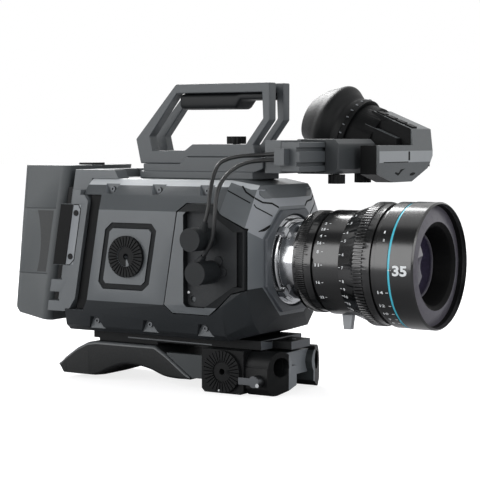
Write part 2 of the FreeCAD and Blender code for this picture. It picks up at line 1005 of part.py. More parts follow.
def screw(label, at, side):
    """A pan head with a hexagon socket and a plain shank, its head towards one side."""
    piece = Piece(label, at, ((1, 0, 0), 90 * -side))
    piece.revolve("XZ", [[
        (0, -(S.screw_length - S.fit)),
        (S.screw_shank, -(S.screw_length - S.fit)),
        (S.screw_shank, 0),
        (S.screw_head, 0),
        (S.screw_head * 0.9, S.screw_head_height),
        (0, S.screw_head_height),
    ]], "V_Axis")
    socket = S.screw_shank * 0.9
    hexagon = [(socket * math.cos(math.radians(60 * k)), socket * math.sin(math.radians(60 * k)))
               for k in range(6)]
    piece.pocket("XY", [hexagon], S.screw_head_height / 3, S.screw_head_height)
    return piece


def square_outline(inset=0.0):
    """Leaning square with cut corners round the side rosette."""
    half_w, half_h = S.square_half_width - inset, S.square_half_height - inset
    corner = S.square_corner - inset * (2 - math.sqrt(2))
    points = [
        (-half_w, -half_h + corner), (-half_w + corner, -half_h),
        (half_w - corner, -half_h), (half_w, -half_h + corner),
        (half_w, half_h - corner), (half_w - corner, half_h),
        (-half_w + corner, half_h), (-half_w, half_h - corner),
    ]
    slope = S.square_lean / S.square_half_height
    return [(S.square_x + a + dim(b) * slope, S.square_z + b) for a, b in points]


def bezel_outline(grow=0.0):
    """Outline of the connector bezel, grown by a seam."""
    top, low = S.bezel_top + grow, S.bezel_low - grow
    rear_top, rear_low = S.bezel_rear_top_x - grow, S.bezel_rear_low_x - grow
    corner = S.bezel_corner
    front = S.bezel_front_x + grow
    return [
        (rear_low + corner, low),
        (S.bezel_toe_x, low),
        (S.bezel_front_low_x + grow, low + corner),
        (S.bezel_chin_x, S.corner_low - S.bezel_chin - grow),
        (front, S.corner_low - grow),
        (front, S.corner_top + grow),
        (S.bezel_brow_x, top - S.bezel_brow),
        (S.bezel_head_x, top),
        (rear_top + corner, top),
        (rear_top, top - corner),
        (rear_low, low + corner),
    ]


def bezel_recess():
    """Outline of the recess that holds the sockets."""
    rim = S.bezel_rim
    top, low = S.bezel_top - rim, S.bezel_low + rim
    return [
        (S.bezel_rear_top_x + rim, top - rim / 2),
        (S.bezel_rear_top_x + rim * 1.5, top),
        (S.bezel_head_x - rim / 2, top),
        (S.panel_front_x, S.corner_top - rim / 3),
        (S.panel_front_x, S.corner_low + rim / 3),
        (S.bezel_toe_x - rim / 2, low),
        (S.bezel_rear_top_x + rim * 1.5, low),
        (S.bezel_rear_top_x + rim, low + rim / 2),
    ]


def main_housing():
    """Cast housing with the nose, a cavity for the boards and seats for every cover."""
    form = combine("MultiCommon", "housing_form", [
        body_envelope("housing_envelope"),
        prism("housing_profile", "XZ", [body_profile()], -S.cover_reach, S.cover_reach),
    ])
    tools = [
        side_region("housing_right_region", -1),
        side_region("housing_left_region", 1),
        roof_region("housing_roof_region"),
        prism("housing_bezel_seat", "XZ", [bezel_outline(S.bezel_seam)], -S.cover_reach, -inside(S.bezel_depth)),
        prism("housing_plate_seat", "YZ", [mirrored_polygon(octagon(S.plate_inset))],
              S.plate_back, S.nose_front + S.seam),
        box("housing_cavity", S.cavity_rear, S.cavity_front, -S.cavity_half, S.cavity_half,
            S.cavity_low, S.cavity_top),
        rod("housing_throat", "X", (S.cavity_front, 0, S.axis_height), S.throat_radius,
            S.nose_front - S.cavity_front),
        rod("housing_record_hole", "Y", (S.record_x, S.side_half - S.record_length, S.record_z),
            S.record_radius + S.record_gap, S.record_length + S.seam),
        box("housing_hinge_seat", S.nose_start, S.hinge_x + S.hinge_radius + S.door_gap,
            inside(S.door_sink) - S.door_gap, S.cover_reach, S.door_low - S.door_gap,
            S.door_top + S.door_gap),
    ]
    tools += screw_holes("housing_right_hole", -1, S.screw_shank + S.fit)
    tools += screw_holes("housing_left_hole", 1, S.screw_shank + S.fit)
    return cut("main_housing", form, tools)


def side_cover(label, side, tools):
    """One side cover, cut from the body's outer form."""
    form = combine("MultiCommon", f"{label}_form", [
        body_envelope(f"{label}_envelope"),
        prism(f"{label}_profile", "XZ", [body_profile()], -S.cover_reach, S.cover_reach),
        side_region(f"{label}_region", side),
    ])
    tools = tools + notch_cutters(f"{label}_notch", side)
    tools = tools + screw_holes(f"{label}_hole", side, S.screw_shank + S.fit)
    return cut(label, form, tools)


def right_side_cover():
    """Cover with the rosette's square and an opening for the connector bezel."""
    pad = prism("rosette_pad_form", "XZ", [square_outline(S.square_band)],
                -S.side_half, -(S.side_half - S.square_sink))
    recess = prism("square_recess", "XZ", [square_outline()],
                   -S.cover_reach, -(S.side_half - S.square_sink))
    bezel = prism("cover_bezel_seat", "XZ", [bezel_outline(S.bezel_seam)], -S.cover_reach, 0)
    thread = rod("rosette_thread", "Y", (S.square_x, -S.cover_reach, S.square_z),
                 S.rosette_bore, S.cover_reach - inside(S.cover_depth) - S.cover_wall)
    return side_cover("right_side_cover", -1, [cut("square_well", recess, [pad]), bezel, thread])


def left_side_cover():
    """Cover with the well that the monitor folds into."""
    well = box("door_well", S.door_rear - S.door_gap, S.nose_start, inside(S.door_sink) - S.door_gap,
               S.cover_reach, S.door_low - S.door_gap, S.door_top + S.door_gap)
    return side_cover("left_side_cover", 1, [well])


def square_bezel():
    """Dark frame round the rosette's pad, bevelled towards the pad."""
    outer = prism("square_bezel_outer", "XZ", [square_outline(S.fit)],
                  -(S.side_half - S.square_sink / 3), -(S.side_half - S.square_sink))
    inner = prism("square_bezel_inner", "XZ", [square_outline(S.square_band - S.fit)],
                  -S.cover_reach, 0)
    return cut("square_bezel", outer, [inner])


def rosette(label, at, side):
    """Toothed disc with a threaded hole, its teeth towards one side."""
    piece = Piece(label, at, ((1, 0, 0), 90 * -side))
    piece.revolve("XZ", [[
        (S.rosette_bore, 0),
        (S.rosette_radius, 0),
        (S.rosette_radius, S.rosette_stand),
        (S.rosette_inner, S.rosette_stand),
        (S.rosette_inner, S.rosette_stand - S.rosette_tooth),
        (S.rosette_bore, S.rosette_stand - S.rosette_tooth),
    ]], "V_Axis")
    half = S.rosette_tooth / 2
    notch = piece.pocket("YZ", [[
        (-half, S.rosette_stand + S.seam),
        (0, S.rosette_stand - S.rosette_tooth * 0.8),
        (half, S.rosette_stand + S.seam),
    ]], S.rosette_inner - 1, S.rosette_radius + 1)
    piece.round_pattern(notch, "Z_Axis", S.rosette_teeth)
    return piece


def connector_bezel():
    """Raised frame round the sockets, with a ramp at the front of its recess."""
    form = combine("MultiCommon", "bezel_form", [
        body_envelope("bezel_envelope"),
        prism("bezel_block", "XZ", [bezel_outline()], -S.cover_reach, -inside(S.bezel_depth)),
    ])
    recess = prism("bezel_recess", "XZ", [bezel_recess()], -S.cover_reach, -inside(S.panel_depth))
    ramp = prism("bezel_ramp", "XY", [[
        (S.panel_front_x - S.seam, -inside(S.panel_depth)),
        (S.bezel_front_x - S.bezel_rim / 3, -S.side_half),
        (S.bezel_front_x - S.bezel_rim / 3, -S.cover_reach),
        (S.panel_front_x - S.seam, -S.cover_reach),
    ]], S.corner_low + S.bezel_rim / 3, S.corner_top - S.bezel_rim / 3)
    return cut("connector_bezel", form, [recess, ramp])


def connector_panel():
    """Black plate on the recess floor with two round sockets, two small jacks and an ear jack."""
    floor = -inside(S.panel_depth)
    plate = prism("panel_sheet", "XZ", [bezel_recess()], floor - S.panel_thickness, floor)
    front = floor - S.panel_thickness - S.jack_stand
    small = [rod(f"panel_jack_{i + 1}", "Y", (x, front, z), S.jack_radius, floor - front)
             for i, (x, z) in enumerate(((S.jack_upper_x, S.jack_upper_z),
                                         (S.jack_lower_x, S.jack_lower_z)))]
    ear = rod("panel_ear_hole", "Y", (S.ear_x, -S.cover_reach, S.ear_z), S.ear_radius, S.cover_reach)
    return cut("connector_panel", combine("MultiFuse", "panel_body", [plate] + small), [ear])



def roof_region(name):
    """Space of the top cover, between the side covers and above the cavity."""
    return box(name, lean(S.keel_low, S.body_back), S.nose_front, -S.roof_cover_half,
               S.roof_cover_half, S.roof_cover_low, S.roof_top)


def top_cover():
    """Roof panel that slopes down over the nose."""
    return combine("MultiCommon", "top_cover", [
        body_envelope("top_cover_envelope"),
        prism("top_cover_profile", "XZ", [body_profile()], -S.cover_reach, S.cover_reach),
        roof_region("top_cover_region"),
    ])


def mount_plate():
    """Eight-sided plate round the lens mount, with the round seat for the breech ring."""
    piece = Piece("mount_plate")
    front = S.nose_front + S.plate_stand
    piece.pad("YZ", [mirrored_polygon(octagon(S.plate_inset + S.fit))], S.plate_back, front)
    seat = front - S.seat_depth
    piece.pocket("YZ", [Circle(0, S.axis_height, S.seat_radius)], seat, front)
    piece.pocket("YZ", [Circle(0, S.axis_height, S.throat_radius)], S.plate_back, seat)
    return piece


def camera_mount():
    """Chromed flange that the lens seats on, with its tube into the housing."""
    piece = Piece("camera_mount", (S.flange_x, 0, S.axis_height))
    back = S.nose_front + S.plate_stand - S.seat_depth - S.flange_x
    piece.revolve("XZ", [[
        (S.cavity_front + S.seam - S.flange_x, S.throat_radius - S.mount_wall),
        (0, S.throat_radius - S.mount_wall),
        (0, S.flange_radius),
        (back, S.flange_radius),
        (back, S.throat_radius - S.fit),
        (S.cavity_front + S.seam - S.flange_x, S.throat_radius - S.fit),
    ]])
    return piece


def mount_ring():
    """Breech ring with four finger tabs that locks the lens when it turns."""
    piece = Piece("mount_ring", (S.flange_x, 0, S.axis_height), ((1, 0, 0), S.breech_tab_turn))
    piece.revolve("XZ", [[
        (S.fit, S.breech_bore),
        (S.breech_length, S.breech_bore),
        (S.breech_length, S.breech_radius - S.breech_bevel),
        (S.breech_length - S.breech_bevel, S.breech_radius),
        (S.fit, S.breech_radius),
    ]])
    tab = piece.pad("YZ", [[
        (-S.breech_tab_width / 2, S.lens_rear_radius + S.seam),
        (S.breech_tab_width / 2, S.lens_rear_radius + S.seam),
        (S.breech_tab_width / 3, S.seat_radius - S.seam),
        (-S.breech_tab_width / 3, S.seat_radius - S.seam),
    ]], S.seam, S.breech_length + S.breech_tab)
    piece.round_pattern(tab, "X_Axis", S.breech_tabs)
    return piece


def rear_outline(front, back, low, high):
    """Leaning strip between two distances behind the body's rear edge."""
    return [(lean(low, back), low), (lean(low, front), low),
            (lean(high, front), high), (lean(high, back), high)]


def rear_channel():
    """Dark frame between the covers and the rear ribs."""
    under, over, rib = S.step_low + S.seam, S.step_top - S.seam, S.rear_rib_front
    return labelled("rear_channel", prism("rear_channel", "XZ", [[
        (lean(under, rib), under),
        (lean(under, S.step_knee + S.seam), under),
        (lean(S.side_low, S.seam), S.side_low),
        (lean(S.side_top, S.seam), S.side_top),
        (lean(over, S.step_knee + S.seam), over),
        (lean(over, rib), over),
    ]], -S.channel_half, S.channel_half))


def rear_frame():
    """Light frame with kneed side ribs and the column that rises behind the roof."""
    low, high, back = S.rear_low, S.rear_top, S.rear_back
    under, over = S.step_low + S.seam, S.step_top - S.seam
    half = S.rear_frame_half
    ribs = prism("rear_ribs", "XZ", [[
        (lean(low, back), low),
        (lean(low, S.rear_clear), low),
        (lean(under, S.rear_clear), under),
        (lean(under, S.rib_knee), under),
        (lean(S.rib_knee_low, S.rear_rib_front), S.rib_knee_low),
        (lean(S.rib_knee_top, S.rear_rib_front), S.rib_knee_top),
        (lean(over, S.rib_knee), over),
        (lean(over, S.rear_clear), over),
        (lean(high, S.rear_clear), high),
        (lean(high, back), high),
    ]], -half, half)
    tower = prism("rear_tower", "XZ", [[
        (lean(S.tower_root, back), S.tower_root),
        (lean(S.tower_root, S.rear_clear), S.tower_root),
        (lean(S.roof_top, S.rear_clear), S.roof_top),
        (S.roof_pad_front, S.roof_top),
        (S.roof_pad_front - S.tower_slope, S.roof_pad_top),
        (lean(S.roof_pad_top, back), S.roof_pad_top),
    ]], -S.tower_half, S.tower_half)
    gap = box("rear_tower_gap", S.roof_pad_rear, S.nose_start, -S.roof_pad_inner,
              S.roof_pad_inner, S.roof_top - S.seam, S.roof_pad_top + S.seam)
    port = prism("port_well", "XZ", [rear_outline(
        S.ports_front, back + S.seam, S.ports_low, S.ports_top)],
        -S.cover_reach, S.ports_sink - half)
    tools = [gap, port]
    for start, end in ((-S.cover_reach, -S.tower_half - S.seam), (S.tower_half + S.seam, S.cover_reach)):
        tools.append(prism("flank_relief", "XZ", [
            rear_outline(S.rear_flank, back + S.seam, z0, z1) for z0, z1 in (
                (S.flank_hook, S.flank_bump_low), (S.flank_bump_top, S.ports_low - S.seam),
                (S.ports_top + S.seam, high + S.seam))], start, end))
    return cut("rear_frame", combine("MultiFuse", "rear_frame_body", [ribs, tower]), tools)


def port_strip():
    """Light plate with its two screws and the dark cover over the rear sockets beside it."""
    low, high, half = S.ports_low + S.fit, S.ports_top - S.fit, S.rear_frame_half
    split = S.ports_front + S.ports_plate_width
    floor = S.ports_sink - half
    sheet = prism("port_plate_sheet", "XZ", [rear_outline(S.ports_front + S.fit, split, low, high)],
                  -half, floor)
    heads = []
    for i, z in enumerate((S.ports_low + S.ports_screw_inset, S.ports_top - S.ports_screw_inset)):
        x = lean(z, (S.ports_front + split) / 2)
        heads.append(rod(f"port_screw_{i + 1}", "Y", (x, -half - S.ports_stand, z),
                         S.screw_head, S.ports_stand))
    cover = prism("port_cover", "XZ", [rear_outline(split + S.fit, S.rear_back, low, high)],
                  -half - S.ports_stand, floor)
    return group("port_strip", [combine("MultiFuse", "port_plate", [sheet] + heads), cover])


def battery_plate():
    """Wedge-mount plate on the rear frame, with the tongue that holds the battery."""
    back = S.rear_back + S.plate_sheet
    sheet = prism("battery_plate_sheet", "XZ",
                  [rear_outline(S.rear_back, back, S.plate_low, S.plate_top)],
                  -S.plate_half_width, S.plate_half_width)
    middle = (S.plate_low + S.plate_top) / 2
    tongue = prism("battery_tongue", "XZ", [rear_outline(
        back, back + S.wedge_depth, middle - S.wedge_height / 2, middle + S.wedge_height / 2)],
        -S.wedge_half, S.wedge_half)
    return combine("MultiFuse", "battery_plate", [sheet, tongue])


def battery_front():
    """Distance of the battery's front behind the body's rear edge."""
    return S.rear_back + S.plate_sheet + S.battery_gap


def battery_pack():
    """Battery with rounded upright edges, two seams and a slot for the tongue."""
    front, half = battery_front(), S.battery_half
    top, heel = S.battery_top, S.battery_heel
    piece = Piece("battery_pack")
    piece.pad("XZ", [[
        (lean(S.battery_bottom, front), S.battery_bottom),
        (lean(top, front), top),
        (lean(top, front + S.battery_depth_top), top),
        (lean(heel, front + S.battery_depth_low), heel),
        (lean(heel, front + S.battery_depth_low) + S.battery_toe_back, S.battery_toe),
    ]], -half, half)
    rise = number((top - S.battery_bottom) / 2)
    piece.ease("Fillet", S.battery_round, lambda e: stands(e, rise))
    for near, far in ((-half - S.seam, S.band_depth - half), (half - S.band_depth, half + S.seam)):
        piece.pocket("XZ", [rear_outline(
            front + S.battery_round, front + S.battery_depth_top + S.battery_round, z,
            z + S.band_width) for z in (S.band_low, S.band_top)], near, far)
    slot_top = (S.plate_low + S.plate_top) / 2 + S.wedge_height / 2 + S.battery_gap
    piece.pocket("XZ", [rear_outline(front - S.seam, front + S.wedge_depth + S.battery_gap,
                                     S.battery_bottom - S.seam, slot_top)],
                 -S.wedge_half - S.battery_gap, S.wedge_half + S.battery_gap)
    piece.pocket("XY", [[
        (S.latch_rear - S.fit, -S.latch_half - S.fit),
        (S.latch_front + S.fit, -S.latch_half - S.fit),
        (S.latch_front + S.fit, S.latch_half + S.fit),
        (S.latch_rear - S.fit, S.latch_half + S.fit),
    ]], top - S.latch_sink - S.latch_travel - S.fit, top)
    return piece


def stands(edge, rise):
    """True for a straight edge that climbs at least this far."""
    ends = [v.Point for v in edge.Vertexes]
    return len(ends) == 2 and abs(ends[0].z - ends[1].z) > rise


def battery_latch():
    """Release key in the top of the battery."""
    return labelled("battery_latch", box(
        "battery_latch", S.latch_rear, S.latch_front, -S.latch_half, S.latch_half,
        S.battery_top - S.latch_sink, S.battery_top + S.latch_stand))


def monitor_door():
    """Fold-out screen shell with cut corners and the middle knuckle of its hinge."""
    low, high = S.door_low, S.door_top
    rear, front, corner = S.door_rear, S.door_front, S.door_corner
    inner, outer = inside(S.door_sink), inside(S.door_sink) + S.door_depth
    piece = Piece("monitor_door")
    piece.pad("XZ", [[
        (rear + corner, low), (front, low), (front, high), (rear + corner, high),
        (rear, high - corner), (rear, low + corner),
    ]], inner, outer)
    edge = number(outer)
    piece.ease("Chamfer", S.door_bevel, lambda e: abs(e.CenterOfMass.y - edge) < 0.01)
    margin = S.door_screen_margin
    piece.pocket("XZ", [[
        (rear + margin, low + margin), (front - margin, low + margin),
        (front - margin, high - margin), (rear + margin, high - margin),
    ]], inner, inner + S.door_screen_depth)
    start, end = low + S.hinge_knuckle + S.door_gap, high - S.hinge_knuckle - S.door_gap
    half, middle = S.hinge_radius * 0.8, S.side_half + S.hinge_stand
    piece.pad("XY", [[
        (front - half, middle - half), (S.hinge_x, middle - half),
        (S.hinge_x, middle + half), (front - half, middle + half),
    ]], start, end)
    piece.pad("XY", [Circle(S.hinge_x, middle, S.hinge_radius)], start, end)
    piece.pocket("XY", [Circle(S.hinge_x, middle, S.hinge_pin + S.fit)], start, end)
    return piece


def monitor_screen():
    """Touch screen in the door's inner face."""
    margin = S.door_screen_margin + S.fit
    return labelled("monitor_screen", box(
        "monitor_screen", S.door_rear + margin, S.door_front - margin, inside(S.door_sink) + S.fit,
        inside(S.door_sink) + S.door_screen_depth, S.door_low + margin, S.door_top - margin))


def monitor_hinge():
    """Fixed hinge half with its two outer knuckles and the pin."""
    low, high = S.door_low, S.door_top
    rear, front = S.hinge_plate_rear, S.hinge_x + S.hinge_radius
    root, face = inside(S.door_sink) - S.door_gap, inside(S.hinge_plate_sink)
    middle = S.side_half + S.hinge_stand
    piece = Piece("monitor_hinge")
    piece.pad("XY", [[(rear, root), (front, root), (front, face), (rear, face)]], low, high)
    for start, end in ((low, low + S.hinge_knuckle), (high - S.hinge_knuckle, high)):
        piece.pad("XY", [[(rear, face), (front, face), (front, middle), (rear, middle)]], start, end)
        piece.pad("XY", [Circle(S.hinge_x, middle, S.hinge_radius)], start, end)
    piece.pad("XY", [Circle(S.hinge_x, middle, S.hinge_pin)], low, high)
    return piece


def record_button():
    """Round record button on the left of the nose."""
    piece = Piece("record_button", (S.record_x, S.side_half, S.record_z), ((1, 0, 0), -90))
    root = S.record_travel - S.record_length + S.record_gap
    piece.revolve("XZ", [[
        (0, root),
        (S.record_radius, root),
        (S.record_radius, S.record_stand),
        (0, S.record_stand),
    ]], "V_Axis")
    return piece


def labelled(label, thing):
    """A plain shape that is a piece of its own."""
    thing.Label = label
    return thing


def turned(label, points, at=None, turn=None):
    """A piece turned round its own X axis; each point is a distance along X and a radius."""
    piece = Piece(label, at, turn)
    piece.revolve("XZ", [points])
    return piece


# Inner pieces


def sensor_block():
    """Sensor and its carrier behind the mount, standing against the cavity's front wall."""
    front = S.cavity_front
    carrier = box("sensor_carrier", front - S.sensor_plate, front, -S.sensor_half_width,
                  S.sensor_half_width, S.axis_height - S.sensor_half_height,
                  S.axis_height + S.sensor_half_height)
    body = box("sensor_body", front - S.sensor_depth, front - S.sensor_plate, -S.sensor_width / 2,
               S.sensor_width / 2, S.axis_height - S.sensor_height / 2,
               S.axis_height + S.sensor_height / 2)
    return combine("MultiFuse", "sensor_block", [carrier, body])


def main_board():
    """Electronics board across the cavity, with the fan's shaft."""
    sheet = box("board_sheet", S.board_x, S.board_x + S.board_thickness, -S.board_half,
                S.board_half, S.cavity_low, S.cavity_top)
    shaft = rod("fan_shaft", "X", (S.board_x - S.fan_depth - S.fan_gap, 0, S.axis_height),
                S.shaft_radius, S.fan_depth + S.fan_gap)
    return combine("MultiFuse", "main_board", [sheet, shaft])


def cooling_fan():
    """Fan rotor that runs free on the board's shaft."""
    rear = S.board_x - S.fan_depth - S.fan_gap / 2
    piece = Piece("cooling_fan", (rear, 0, S.axis_height))
    piece.pad("YZ", [Circle(0, 0, S.fan_hub), Circle(0, 0, S.shaft_radius + S.fit)],
              0, S.fan_depth)
    half = S.fan_blade_half
    blade = piece.pad("YZ", [[
        (S.fan_hub - S.seam, -half), (S.fan_radius, half * 3),
        (S.fan_radius, half * 5), (S.fan_hub - S.seam, half),
    ]], 0, S.fan_depth)
    piece.round_pattern(blade, "X_Axis", S.fan_blades)
    return piece


# Top handle


def handle_frame(label, near, far):
    """One of the two open side frames of the handle."""
    outer = [
        (S.handle_rear_x, S.handle_top),
        (S.handle_front_x, S.handle_top),
        (S.handle_front_x, S.front_knee_z),
        (S.handle_toe_x, S.handle_toe_z),
        (S.handle_sole_x, S.handle_sole_z),
        (S.handle_step_x, S.handle_sole_z),
        (S.handle_heel_step_x, S.handle_heel_z),
        (S.handle_heel_x, S.handle_heel_z),
        (S.handle_knee_x, S.handle_knee_z),
    ]
    inner = [
        (S.grip_rear_x - 1, S.grip_top),
        (S.inner_front_x, S.grip_top),
        (S.inner_knee_x, S.inner_knee_z),
        (S.inner_toe_x, S.inner_toe_z),
        (S.inner_sole_x, S.inner_sole_z),
        (S.inner_step_x, S.inner_sole_z),
        (S.inner_heel_step_x, S.inner_heel_z),
        (S.inner_heel_x, S.inner_heel_z),
        (S.inner_rear_x, S.inner_rear_z),
    ]
    piece = Piece(label)
    piece.pad("XZ", [outer, inner], near, far)
    return piece


def handle_grip():
    """Moulded grip under the top bars, with the spine between them."""
    low, high, top = S.grip_low, S.grip_high, S.grip_top
    piece = Piece("handle_grip")
    piece.pad("XZ", [[
        (S.grip_rear_x, low),
        (S.grip_step_x, low),
        (S.grip_step_x + S.grip_slope, high),
        (S.grip_front_x, high),
        (S.grip_front_x, top),
        (S.grip_rear_x, top),
    ]], -S.grip_half, S.grip_half)
    piece.pad("XZ", [[
        (S.grip_rear_x, high), (S.grip_front_x, high),
        (S.grip_front_x, S.handle_top - S.grip_slope / 2),
        (S.grip_rear_x, S.handle_top - S.grip_slope / 2),
    ]], -S.spine_half, S.spine_half)
    return piece


def handle_base():
    """Foot of the handle with the rail plate under it and the spine between the frames."""
    low, top = S.handle_base_low, S.handle_sole_z - S.fit
    heel = S.handle_heel_z - S.fit
    piece = Piece("handle_base")
    piece.pad("XZ", [[
        (S.handle_rail_rear, S.roof_top), (S.handle_rail_front, S.roof_top),
        (S.handle_rail_front, low), (S.handle_rail_rear, low),
    ]], -S.handle_rail_half, S.handle_rail_half)
    piece.pad("XZ", [[
        (S.handle_base_rear, low),
        (S.base_toe_x, low),
        (S.handle_base_front, S.base_nose_z),
        (S.handle_base_front, top),
        (S.handle_step_x, top),
        (S.handle_heel_step_x, heel),
        (S.handle_base_rear, heel),
    ]], -S.handle_base_half, S.handle_base_half)
    piece.pad("XZ", [[
        (S.inner_step_x, top), (S.inner_sole_x, top),
        (S.inner_sole_x, S.base_spine_top), (S.inner_step_x, S.base_spine_top),
    ]], -S.spine_half, S.spine_half)
    return piece


def fluted_knob(label, at, radius, height, shank, reach, turn=None):
    """Fluted knob on a plain shank that points down."""
    piece = Piece(label, at, turn)
    piece.pad("XY", [Circle(0, 0, radius)], 0, height)
    piece.pad("XY", [Circle(0, 0, shank)], -reach, 0)
    flute = piece.pocket("XY", [Circle(radius + S.thumb_flute, 0, S.thumb_flute * 1.6)], 0, height)
    piece.round_pattern(flute, "Z_Axis", S.thumb_flutes)
    return piece


def handle_knob():
    """Knob that clamps the handle's base."""
    seat = S.inner_sole_z + S.knob_gap
    return fluted_knob("handle_knob", (S.knob_x, S.knob_y, seat), S.knob_radius,
                       S.knob_height, S.knob_shank, seat - S.base_spine_top - S.fit)


# Viewfinder


def evf_arm():
    """Block in front of the handle that carries the cross rail."""
    return labelled("evf_arm", box(
        "evf_arm", S.handle_base_front, S.rail_rear, -S.arm_half, S.arm_half, S.arm_low, S.arm_top))


def evf_rail():
    """Cross rail with two slots along its front face."""
    low, high = S.evf_axis_z - S.rail_half_height, S.evf_axis_z + S.rail_half_height
    front = S.rail_rear + S.rail_half * 2
    piece = Piece("evf_rail")
    outline = [(S.rail_rear, low), (front, low), (front, high), (S.rail_rear, high)]
    piece.pad("XZ", [outline], -S.arm_half, S.rail_end)
    slots = []
    for side in (-1, 1):
        middle = S.evf_axis_z + side * S.rail_half_height / 2
        z0, z1 = middle - S.rail_slot / 2, middle + S.rail_slot / 2
        slots.append([(front - S.rail_slot_depth, z0), (front, z0), (front, z1),
                      (front - S.rail_slot_depth, z1)])
    piece.pocket("XZ", slots, -S.arm_half, S.rail_end)
    return piece


def evf_clamp():
    """Sliding clamp round the rail, with the journal that the viewfinder tilts on."""
    x, z, half, tall = S.evf_axis_x, S.evf_axis_z, S.clamp_half, S.clamp_half_height
    bevel = S.clamp_chamfer
    piece = Piece("evf_clamp")
    piece.pad("XZ", [[
        (x - half + bevel, z - tall), (x + half - bevel, z - tall),
        (x + half, z - tall + bevel), (x + half, z + tall - bevel),
        (x + half - bevel, z + tall), (x - half + bevel, z + tall),
        (x - half, z + tall - bevel), (x - half, z - tall + bevel),
    ]], S.clamp_near, S.clamp_far)
    gap = S.fit
    front = S.rail_rear + S.rail_half * 2 + gap
    low, high = z - S.rail_half_height - gap, z + S.rail_half_height + gap
    piece.pocket("XZ", [[(S.rail_rear - gap, low), (front, low), (front, high),
                         (S.rail_rear - gap, high)]], S.clamp_near, S.clamp_far - S.clamp_wall)
    piece.pad("XZ", [Circle(x, z, S.pivot_radius)], S.clamp_far - S.seam, S.journal_end)
    return piece


def thumbscrew(label, y):
    """Thumbscrew under the clamp."""
    seat = S.evf_axis_z - S.clamp_half_height - S.thumb_gap
    return fluted_knob(label, (S.thumb_x, y, seat), S.thumb_radius, S.thumb_height,
                       S.thumb_shank, S.thumb_gap - S.fit, ((1, 0, 0), 180))


def evf_outline():
    """Front outline of the viewfinder: six-sided below, a tower at its far end."""
    return [
        (S.evf_near, S.evf_hex_side),
        (S.evf_hex_near, S.evf_hex_low),
        (S.evf_hex_far, S.evf_hex_low),
        (S.evf_hex_far_y, S.evf_hex_far_z),
        (S.evf_far, S.evf_axis_z),
        (S.evf_far, S.evf_rear_top),
        (S.evf_upper_near, S.evf_rear_top),
        (S.evf_upper_near, S.evf_shelf),
        (S.evf_near, S.evf_shelf),
    ]


def roof_height(x):
    """Height of the viewfinder's sloping roof at a station."""
    run = S.evf_front_x + S.evf_front_plate - S.evf_rear_x
    return S.evf_rear_top - (dim(x) - S.evf_rear_x) * (S.evf_roof_fall / run)


def evf_roof(name, x0, x1):
    """Side profile of the viewfinder under its sloping roof, between two stations."""
    return prism(name, "XZ", [[
        (x0, S.evf_hex_low), (x1, S.evf_hex_low), (x1, roof_height(x1)), (x0, roof_height(x0)),
    ]], 0, S.evf_far + S.seam)


def evf_body():
    """Viewfinder housing: front block, upper block with the eye tube, cheek with the bore."""
    x, z = S.evf_axis_x, S.evf_axis_z
    front = combine("MultiCommon", "evf_front_block", [
        prism("evf_front_form", "YZ", [evf_outline()], S.evf_inner_x, S.evf_front_x),
        evf_roof("evf_front_roof", S.evf_inner_x - S.seam, S.evf_front_x + S.seam)])
    upper = combine("MultiCommon", "evf_upper_block", [
        prism("evf_upper_form", "YZ", [[
            (S.evf_upper_near, z - S.evf_ridge), (S.evf_far, z - S.evf_ridge),
            (S.evf_far, S.evf_rear_top), (S.evf_upper_near + S.evf_ridge / 2, S.evf_rear_top),
            (S.evf_upper_near, S.evf_rear_top - S.evf_ridge),
        ]], S.evf_back_x, S.evf_front_x),
        evf_roof("evf_upper_roof", S.evf_back_x, S.evf_front_x + S.seam)])
    cheek = rod("evf_cheek", "Y", (x, S.cheek_near, z), S.cheek_radius,
                S.evf_upper_near + S.seam - S.cheek_near)
    web = box("evf_web", x, S.evf_inner_x + S.seam, S.cheek_near, S.evf_upper_near + S.seam,
              z - S.evf_ridge, S.evf_shelf)
    tube = turned("evf_tube", [
        (S.tube_start, 0), (S.diopter_length + S.seam, 0), (S.diopter_length + S.seam, S.tube_radius),
        (S.tube_start, S.tube_radius)], *eye_seat())
    wedge = prism("evf_wedge", "XZ", [[
        (S.evf_back_x, S.evf_shelf - S.seam), (S.evf_wedge_front, S.evf_shelf - S.seam),
        (S.evf_wedge_front, roof_height(S.evf_wedge_front) - S.evf_wedge_drop),
        (S.evf_back_x, roof_height(S.evf_back_x) - S.evf_wedge_drop),
    ]], S.evf_wedge_near, S.evf_upper_near + S.seam)
    crown = prism("evf_crown", "XZ", [[
        (S.tube_crown_x, roof_height(S.tube_crown_x)),
        (S.evf_front_x, roof_height(S.evf_front_x)),
        (S.evf_front_x, S.evf_rear_top + S.tube_radius),
        (S.tube_crown_x, S.evf_rear_top + S.tube_radius),
    ]], S.eye_y - S.tube_radius, S.eye_y + S.tube_radius)
    bore = rod("evf_pivot_bore", "Y", (x, S.cheek_near - S.seam, z),
               S.pivot_radius + S.journal_fit, S.journal_end - S.cheek_near + S.seam * 2)
    pockets = button_places("evf_button_well", S.evf_button_gap, S.evf_button_sink + S.evf_button_stand)
    form = combine("MultiFuse", "evf_form", [front, upper, cheek, web, tube, wedge])
    return cut("evf_body", form, [bore, crown] + pockets)


def evf_front():
    """Front plate of the viewfinder: an upright band between two facets that lean back."""
    rear, front = S.evf_front_x, S.evf_front_x + S.evf_front_plate
    edge = front - S.evf_facet_back
    return combine("MultiCommon", "evf_front", [
        prism("evf_front_sheet", "YZ", [evf_outline()], rear, front),
        prism("evf_front_profile", "XZ", [[
            (rear, S.evf_hex_low), (edge, S.evf_hex_low), (front, S.evf_band_low),
            (front, S.evf_band_top), (edge, roof_height(edge)), (rear, roof_height(rear)),
        ]], 0, S.evf_far + S.seam)])


